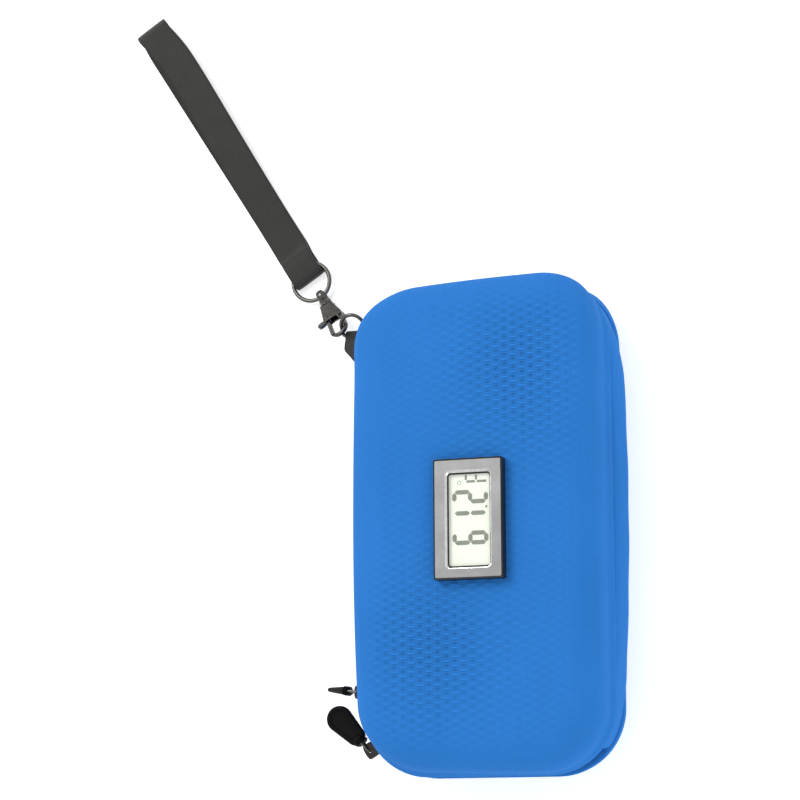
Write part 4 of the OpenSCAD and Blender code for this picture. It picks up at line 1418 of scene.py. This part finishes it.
link("link_upper_wire", "link_a", "pull_upper", mat_at(PIN_A, ROT_A))
link("link_lower_wire", "link_b", "pull_lower", mat_at(PIN_B, ROT_B))


def tear_ring(d, z, neck, n=40):
    """Teardrop outline pulled in by d: a small circle at the neck, a large one at the tip."""
    (x0, r0), (x1, r1) = neck, (12.6, 5.4)
    r0, r1 = max(r0 - d, 0.15), max(r1 - d, 0.3)
    lean = math.asin((r1 - r0) / (x1 - x0))
    a0 = PI / 2 + lean
    pts = []
    for k in range(n + 1):
        a = -a0 + 2 * a0 * k / n
        pts.append((x1 + r1 * math.cos(a), r1 * math.sin(a), z))
    for k in range(n // 2 + 1):
        a = a0 + (2 * PI - 2 * a0) * k / (n // 2)
        pts.append((x0 + r0 * math.cos(a), r0 * math.sin(a), z))
    return np.array(pts)


def teardrop(neck, thin, h=3.4):
    """Moulded teardrop: rounded rim and a dished panel on each face, thinner by the part thin at its tip."""
    rows = []
    rim_r = 1.25
    for k in range(7):
        a = PI / 2 * k / 6
        rows.append((rim_r * (1 - math.sin(a)), h / 2 - rim_r * (1 - math.cos(a)) - 0.0))
    half = [(3.4, h / 2 - 0.62), (2.6, h / 2 - 0.62), (2.2, h / 2 - 0.55), (1.9, h / 2 - 0.30),
            (1.6, h / 2 - 0.06)]
    upper = half + [(d, z) for d, z in rows]
    rings = [tear_ring(d, z, neck) for d, z in upper]
    rings += [tear_ring(d, -z, neck) for d, z in reversed(upper)]
    for r in rings:
        r[:, 2] *= 1 - thin * np.clip(r[:, 0] / 16, 0, 1)
    return loft(rings)


def pull(name, node, body, m, tilt, flat):
    """Rubber pull: collar over the link's ends, then the teardrop."""
    turn = Matrix.Translation((LINK_L + 0.3, 0, 0)) @ Matrix.Rotation(math.radians(tilt), 4, "Y")
    if flat:
        turn = turn @ Matrix.Rotation(PI / 2, 4, "X")
    drop = at(np.array(turn), teardrop((2.0, 2.8), 0.55) if flat else teardrop((2.6, 3.9), 0.0))
    w = 3.2 if flat else 4.6
    rings = []
    for x, k in ((-1.25, 0.72), (-1.1, 0.9), (-0.7, 1.0), (0.6, 1.0), (1.4, 0.94), (2.0, 0.8), (2.5, 0.6)):
        s = pill_section(w * k, 6.0 * (1 - (1 - k) * 0.75), 6, 1.5)
        rings.append(np.column_stack([np.full(len(s), LINK_L + x), s]))
    collar = loft(rings)
    # two moulded ribs on the collar
    ribs = []
    for x in (LINK_L - 0.45, LINK_L + 0.6):
        s = pill_section(w + 0.24, 6.2, 6, 1.6)
        ring = np.column_stack([np.full(len(s), x), s])
        ribs.append(wire(ring, 0.2, 6, closed=True, up=(1, 0, 0)))
    verts, faces = join_parts([drop] + [collar] + ribs)
    verts, faces = at(m, (verts, faces))
    ob = mesh_obj(name, verts, faces, M["rubber"], sharp=50)
    return settle(ob, node, body)


pull("pull_upper_rubber", "pull_a", "pull_upper", mat_at(PIN_A, ROT_A), 50, True)
pull("pull_lower_rubber", "pull_b", "pull_lower", mat_at(PIN_B, ROT_B), 0, False)


# ---------------------------------------------------------------- tab and rings

def torus(centre, ax_u, ax_v, radius, r, n=72, k=16, squash=1.0):
    """Ring of wire in the plane of ax_u and ax_v."""
    c, u, v = (np.asarray(q, float) for q in (centre, ax_u, ax_v))
    w = np.cross(u, v)
    rings = []
    for j in range(n):
        a = 2 * PI * j / n
        d = u * math.cos(a) + v * math.sin(a)
        b = np.linspace(0, 2 * PI, k, endpoint=False)
        rings.append(c + d * radius + np.outer(np.cos(b) * r, d) + np.outer(np.sin(b) * r * squash, w))
    return loft(rings, close_v=True)


def d_ring():
    """Wire D: a straight bar with bent corners, two short legs and a half circle."""
    half, bend, side, r = D_HALF, 1.2, 4.6, 0.8
    pts = []
    for k in range(9):
        pts.append((-(half - bend) + 2 * (half - bend) * k / 8, 0.0))
    for k in range(1, 7):
        a = -PI / 2 + PI / 2 * k / 6
        pts.append((half - bend + bend * math.cos(a), bend + bend * math.sin(a)))
    pts += [(half, 2.4), (half, 3.6)]
    for k in range(25):
        a = PI * k / 24
        pts.append((half * math.cos(a), side + half * math.sin(a)))
    pts += [(-half, 3.6), (-half, 2.4)]
    for k in range(6):
        a = PI + PI / 2 * k / 6
        pts.append((bend - half + bend * math.cos(a), bend + bend * math.sin(a)))
    p = np.array(pts)
    rot = np.array(Matrix.Rotation(D_TILT, 3, "X"))
    line = np.column_stack([p, np.zeros(len(p))]) @ rot.T + BAR
    nrm = rot @ np.array([0, 0, 1.0])
    verts, faces = wire(line, r, 14, closed=True, up=nrm)
    ob = mesh_obj("d_ring_wire", verts, faces, M["gunmetal"])
    settle(ob, "d_ring", "tab_ring")


d_ring()


def tab():
    """Webbing tab: from over the rim, out and down, round the D-ring's bar and back on itself."""
    # centre line of the outer layer, then the turn, then the lower layer
    up_layer = [(-50.0, 73.4, 23.9), (-54.0, 74.6, 23.75), (-57.4, 76.4, 22.6), (-60.0, 79.2, 20.6),
                (-62.0, 82.6, 18.5),
                (-62.8, 84.8, 17.4)]
    turn = [BAR + np.array([0, 1.45 * math.cos(a), 1.45 * math.sin(a)])
            for a in np.radians([70, 35, 0, -35, -70])]
    low_layer = [(-62.8, 84.5, 14.2), (-62.0, 82.1, 15.6), (-60.0, 78.7, 18.3), (-57.4, 76.0, 20.7),
                 (-54.0, 74.2, 22.0),
                 (-50.0, 73.1, 22.45)]
    line = catmull([np.array(q, float) for q in up_layer + turn + low_layer], 6)
    n = len(line)
    # the width swings from along the case's side to along the bar, and spreads before the bar gathers it
    widths, across = [], []
    for k in range(n):
        t = min(max((-52.0 - line[k][0]) / 9.5, 0), 1)
        t = t * t * (3 - 2 * t)
        ang = math.radians(97) * (1 - t)
        across.append(np.array([math.cos(ang), math.sin(ang), 0.0]))
        spread = math.exp(-((line[k][1] - 81.0) / 2.6) ** 2)
        widths.append((11.6 * (1 - t) + 7.4 * t) + 3.0 * spread)
    rings, tang = [], np.gradient(line, axis=0)
    tang /= np.linalg.norm(tang, axis=1)[:, None]
    for k in range(n):
        d = across[k] - tang[k] * np.dot(across[k], tang[k])
        d /= np.linalg.norm(d)
        nr = np.cross(tang[k], d)
        s = pill_section(widths[k], 0.95, 4)
        rings.append(line[k] + s[:, :1] * d + s[:, 1:2] * nr)
    verts, faces = loft(rings)
    s = arc_len(line)
    sec = pill_section(10.0, 0.95, 4)
    v = np.concatenate([sec[:, 0], sec[:1, 0]])
    uv = []
    for j in range(n - 1):
        for k in range(len(sec)):
            uv += [(s[j], v[k]), (s[j + 1], v[k]), (s[j + 1], v[k + 1]), (s[j], v[k + 1])]
    uv += [(0.0, v[k]) for k in range(len(sec))] + [(s[-1], v[k]) for k in range(len(sec) - 1, -1, -1)]
    ob = mesh_obj("tab_webbing", verts, faces, M["tab"], uv=uv, sharp=60)
    settle(ob, "strap_tab", "case_base")


tab()


# ---------------------------------------------------------------- clasp, in its own frame

YAW, PITCH = math.radians(-53.7), math.radians(34.1)
AX = np.array([math.cos(PITCH) * math.cos(YAW), math.cos(PITCH) * math.sin(YAW), math.sin(PITCH)])
AY = np.array([-math.sin(YAW), math.cos(YAW), 0.0])
AZ = np.cross(AX, AY)
ARM_PT = BAR + np.array([-D_HALF, 4.2 * math.cos(D_TILT), 4.2 * math.sin(D_TILT)])
EYE_C = ARM_PT - 27.1 * AX - 1.25 * AY
RING_R = 8.3
RING_C = EYE_C - 0.35 * AX - RING_R * np.array([math.cos(YAW), math.sin(YAW), 0])
CLASP = np.eye(4)
CLASP[:3, 0], CLASP[:3, 1], CLASP[:3, 2], CLASP[:3, 3] = AX, AY, AZ, EYE_C
PIVOT = np.array([16.8, -2.5])


def lathe(profile, n=28):
    """Turned solid about x from (x, radius) pairs."""
    a = np.linspace(0, 2 * PI, n, endpoint=False)
    rings = [np.column_stack([np.full(n, x), r * np.cos(a), r * np.sin(a)]) for x, r in profile]
    return loft(rings)


def hard(name, node, body, parts, mat="gunmetal", m=CLASP, sharp=40):
    verts, faces = at(m, join_parts(parts))
    ob = mesh_obj(name, verts, faces, M[mat], sharp=sharp)
    return settle(ob, node, body)


def clasp():
    # collar that the swivel turns in
    collar = lathe([(4.1, 1.5), (4.1, 2.1), (4.25, 2.38), (4.55, 2.5), (5.6, 2.5), (5.75, 2.3), (5.95, 2.3),
                    (6.1, 2.5),
                    (7.9, 2.5), (8.3, 2.3), (8.4, 1.6)])
    # body: two cheeks joined by a web, as cast
    outline = smooth_outline([(7.4, -2.6), (7.4, 2.6), (8.6, 3.0), (12, 3.5), (15.5, 4.2), (18.4, 4.8),
                              (19.6, 4.55),
                              (20.0, 3.4), (19.3, 2.0), (18.7, 0.2), (18.5, -2.2), (18.3, -3.6),
                              (17.6, -4.25), (14, -3.75),
                              (9.5, -3.1), (8.2, -2.9)], 4)
    cheeks = [plate(outline, 1.12, 1.85, 0.3, 3), plate(outline, -1.85, -1.12, 0.3, 3)]
    spine_line = smooth_outline([(10.4, -2.6), (13.4, -2.4), (13.4, 0.5), (16, 1.4), (18.6, 1.6),
                                 (19.6, 3.2), (19.2, 4.2),
                                 (17.5, 4.3), (12, 3.2), (10.4, 2.8)], 4)
    web = plate(spine_line, -1.3, 1.3, 0.1, 1)
    neck = plate(smooth_outline([(7.4, -2.1), (7.4, 2.1), (8.5, 2.4), (8.5, -2.4)], 3), -1.4, 1.4, 0.2, 2)
    sides = [plate(smooth_outline([(8.2, 2.1 * s), (10.8, 2.1 * s), (10.8, 3.0 * s), (8.2, 2.7 * s)], 3),
                   -1.4, 1.4, 0.2, 2)
             for s in (-1, 1)]
    # hook
    hook = [(17.6, 3.35), (19.5, 3.5), (22, 3.5), (24.5, 3.5), (26.0, 3.47)]
    for a in np.radians(np.arange(78, -62, -11)):
        hook.append((26.5 + 3.5 * math.cos(a), 3.5 * math.sin(a)))
    path = catmull([(x, y, 0) for x, y in hook], 4)
    sizes = np.interp(np.linspace(0, 1, len(path)), [0, 0.12, 0.5, 0.85, 1], [1.25, 1.05, 1.0, 1.0, 0.9])
    rings = sweep(path, lambda k: circle_section(sizes[k], 14), False, (0, 0, 1))
    tip = path[-1] + (path[-1] - path[-2]) / np.linalg.norm(path[-1] - path[-2]) * 0.45
    rings.append(tip + (rings[-1] - path[-1]) * 0.6)
    claw = loft(rings)
    # pin heads
    heads = []
    for s in (-1, 1):
        v, f = lathe([(1.8, 0.95), (2.0, 0.95), (2.12, 0.75), (2.16, 0.3)], 20)
        v = np.column_stack([v[:, 1] + PIVOT[0], v[:, 2] + PIVOT[1], s * v[:, 0]])
        heads.append((v, f))
    hard("clasp_casting", "clasp_body", "clasp", [collar, *cheeks, web, neck, *sides, claw, *heads],
         "gunmetal_cast")
    # gate: hub, arm and thumb lever with ribs
    hub = plate(np.column_stack([PIVOT[0] + 1.5 * np.cos(np.linspace(0, 2 * PI, 28, endpoint=False)),
                                 PIVOT[1] + 1.5 * np.sin(np.linspace(0, 2 * PI, 28, endpoint=False))]),
                                 -0.95, 0.95, 0.12, 2)
    arm = plate(smooth_outline([(16.4, -2.0), (18.2, -1.95), (22.5, -2.2), (27.0, -2.55), (27.55, -3.0),
                                (27.5, -3.9),
                                (27.0, -4.3), (22.5, -4.0), (18.2, -3.7), (16.6, -3.4)], 4), -0.95, 0.95,
                                0.3, 3)
    lever = plate(smooth_outline([(15.9, -3.2), (17.9, -3.2), (17.95, -5.0), (17.9, -6.9), (17.35, -7.75),
                                  (16.7, -7.9),
                                  (16.1, -7.7), (15.65, -6.9), (15.8, -5.0)], 4), -0.95, 0.95, 0.35, 3)
    ribs = [wire([(15.75, y, z), (16.8, y - 0.06, z), (17.85, y, z)], 0.16, 6) for y in (-5.2, -5.9, -6.6)
            for z in (0.93, -0.93)]
    hard("clasp_gate_cast", "clasp_gate", "gate", [hub, arm, lever, *ribs])
    # swivel: eye, post and head
    eye = torus((0, 0, 0), (1, 0, 0), (0, 0, 1), 2.3, 0.82, 48, 18, 2.1)
    post = lathe([(2.75, 0.9), (2.95, 1.15), (3.2, 1.2), (8.8, 1.2)])
    head = lathe([(8.75, 1.2), (8.78, 1.65), (8.95, 1.8), (9.55, 1.8), (9.72, 1.65), (9.75, 1.0)])
    shoulder = lathe([(2.3, 1.0), (2.6, 1.9), (3.0, 2.35), (3.45, 2.35), (3.8, 2.0), (3.95, 1.3)])
    hard("swivel_turned", "swivel_eye", "swivel", [eye, post, head, shoulder])


clasp()

ring_v, ring_f = torus(RING_C, (1, 0, 0), (0, 1, 0), RING_R, 0.9, 96, 18)
ring_ob = mesh_obj("o_ring_wire", ring_v, ring_f, M["gunmetal"])
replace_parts(recalc(ring_ob), "o_ring")
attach(ring_ob, "strap_ring")


# ---------------------------------------------------------------- wrist strap

def strap():
    """Webbing loop: along the table to the far fold, back over itself and round the ring, sewn down."""
    low = [(d, 0.56, 0, 14.0) for d in (2.1, 5, 9, 12.5)] + [(d, 0.56, 0, 15.0)
           for d in (17, 24, 34, 46, 60, 76, 92, 108, 122, 132)]
    fold = [(138.5 + 4.1 * math.cos(math.radians(a)), 4.65 + 4.1 * math.sin(math.radians(a)),
             0.8 + 0.5 * math.sin(math.radians(a)), 15.0) for a in np.arange(-90, 91, 15)]
    back = [(131, 8.9, 2.6, 15), (122, 8.9, 3.5, 15), (108, 8.7, 3.5, 15), (92, 8.4, 3.0, 15),
            (76, 7.4, 2.3, 15),
            (60, 5.6, 1.5, 15), (46, 3.6, .8, 15), (34, 2.2, .3, 15), (24, 1.75, .1, 15), (17, 2.2, 0, 15),
            (13, 4.0, 0, 14.2),
            (10, 5.0, 0, 14), (5, 5.05, 0, 14), (2.9, 4.9, 0, 14), (1.5, 4.2, 0, 14), (0.95, 2.8, 0, 14),
            (1.2, 1.3, 0, 14)]
    sta = catmull(np.array(low + fold + back, float), 6, closed=True)
    sta = resample(sta, step=1.1, closed=True)
    n = len(sta)
    d, z, drift, width = sta.T
    t = np.stack([np.roll(d, -1) - np.roll(d, 1), np.roll(z, -1) - np.roll(z, 1)], 1)
    t /= np.linalg.norm(t, axis=1)[:, None]
    along = np.array([math.cos(STRAP_DIR), math.sin(STRAP_DIR), 0])
    across = np.array([math.sin(STRAP_DIR), -math.cos(STRAP_DIR), 0])
    org = np.array([RING_C[0], RING_C[1], 0])
    th = 1.05
    m = 21
    xs = np.linspace(-1, 1, m)
    rings = []
    for k in range(n):
        e = width[k] / 2
        nx, nz = -t[k][1], t[k][0]
        # slightly cupped, with thinner selvedges
        half = th / 2 * (1 - 0.45 * np.abs(xs) ** 8)
        upper = [(x * e, h) for x, h in zip(xs, half)]
        lower = [(x * e, -h) for x, h in zip(xs[::-1], half[::-1])]
        rings.append(np.array([org + along * (d[k] + nx * h) + across * (drift[k] + s)
                               + np.array([0, 0, z[k] + nz * h])
                               for s, h in upper + lower]))
    verts, faces = loft(rings, close_v=True)
    s = arc_len(np.column_stack([d, z]), True)
    half_width = 7.5
    v = np.concatenate([xs, xs[::-1], xs[:1]]) * half_width
    uv = section_uv(s, v, n, 2 * m, closed=True)
    verts[:, 2] = np.maximum(verts[:, 2], 0.02)
    ob = mesh_obj("wrist_webbing", verts, faces, M["webbing"], uv=uv, sharp=60)
    settle(ob, "wrist_strap", "strap")
    # seam: two rows of stitches across the webbing, a little way from the ring
    places, dirs, nrms = [], [], []
    up = np.array([0, 0, 1.0])

    def top_z(q):
        return float(np.interp(q, [8, 10, 13, 17, 24, 34], [5.05, 5.0, 4.0, 2.2, 1.75, 2.2])) + th / 2

    for a in np.arange(-6.2, 6.3, 1.03):
        for q in (12.1, 13.3):
            nrm = up - along * (top_z(q + 0.5) - top_z(q - 0.5))
            nrm /= np.linalg.norm(nrm)
            places.append(org + along * q + across * a + up * top_z(q))
            dirs.append(across)
            nrms.append(nrm)
    thread = stitches("strap_stitches", places, dirs, nrms, 0.85, 0.17, M["thread"], "strap")


strap()
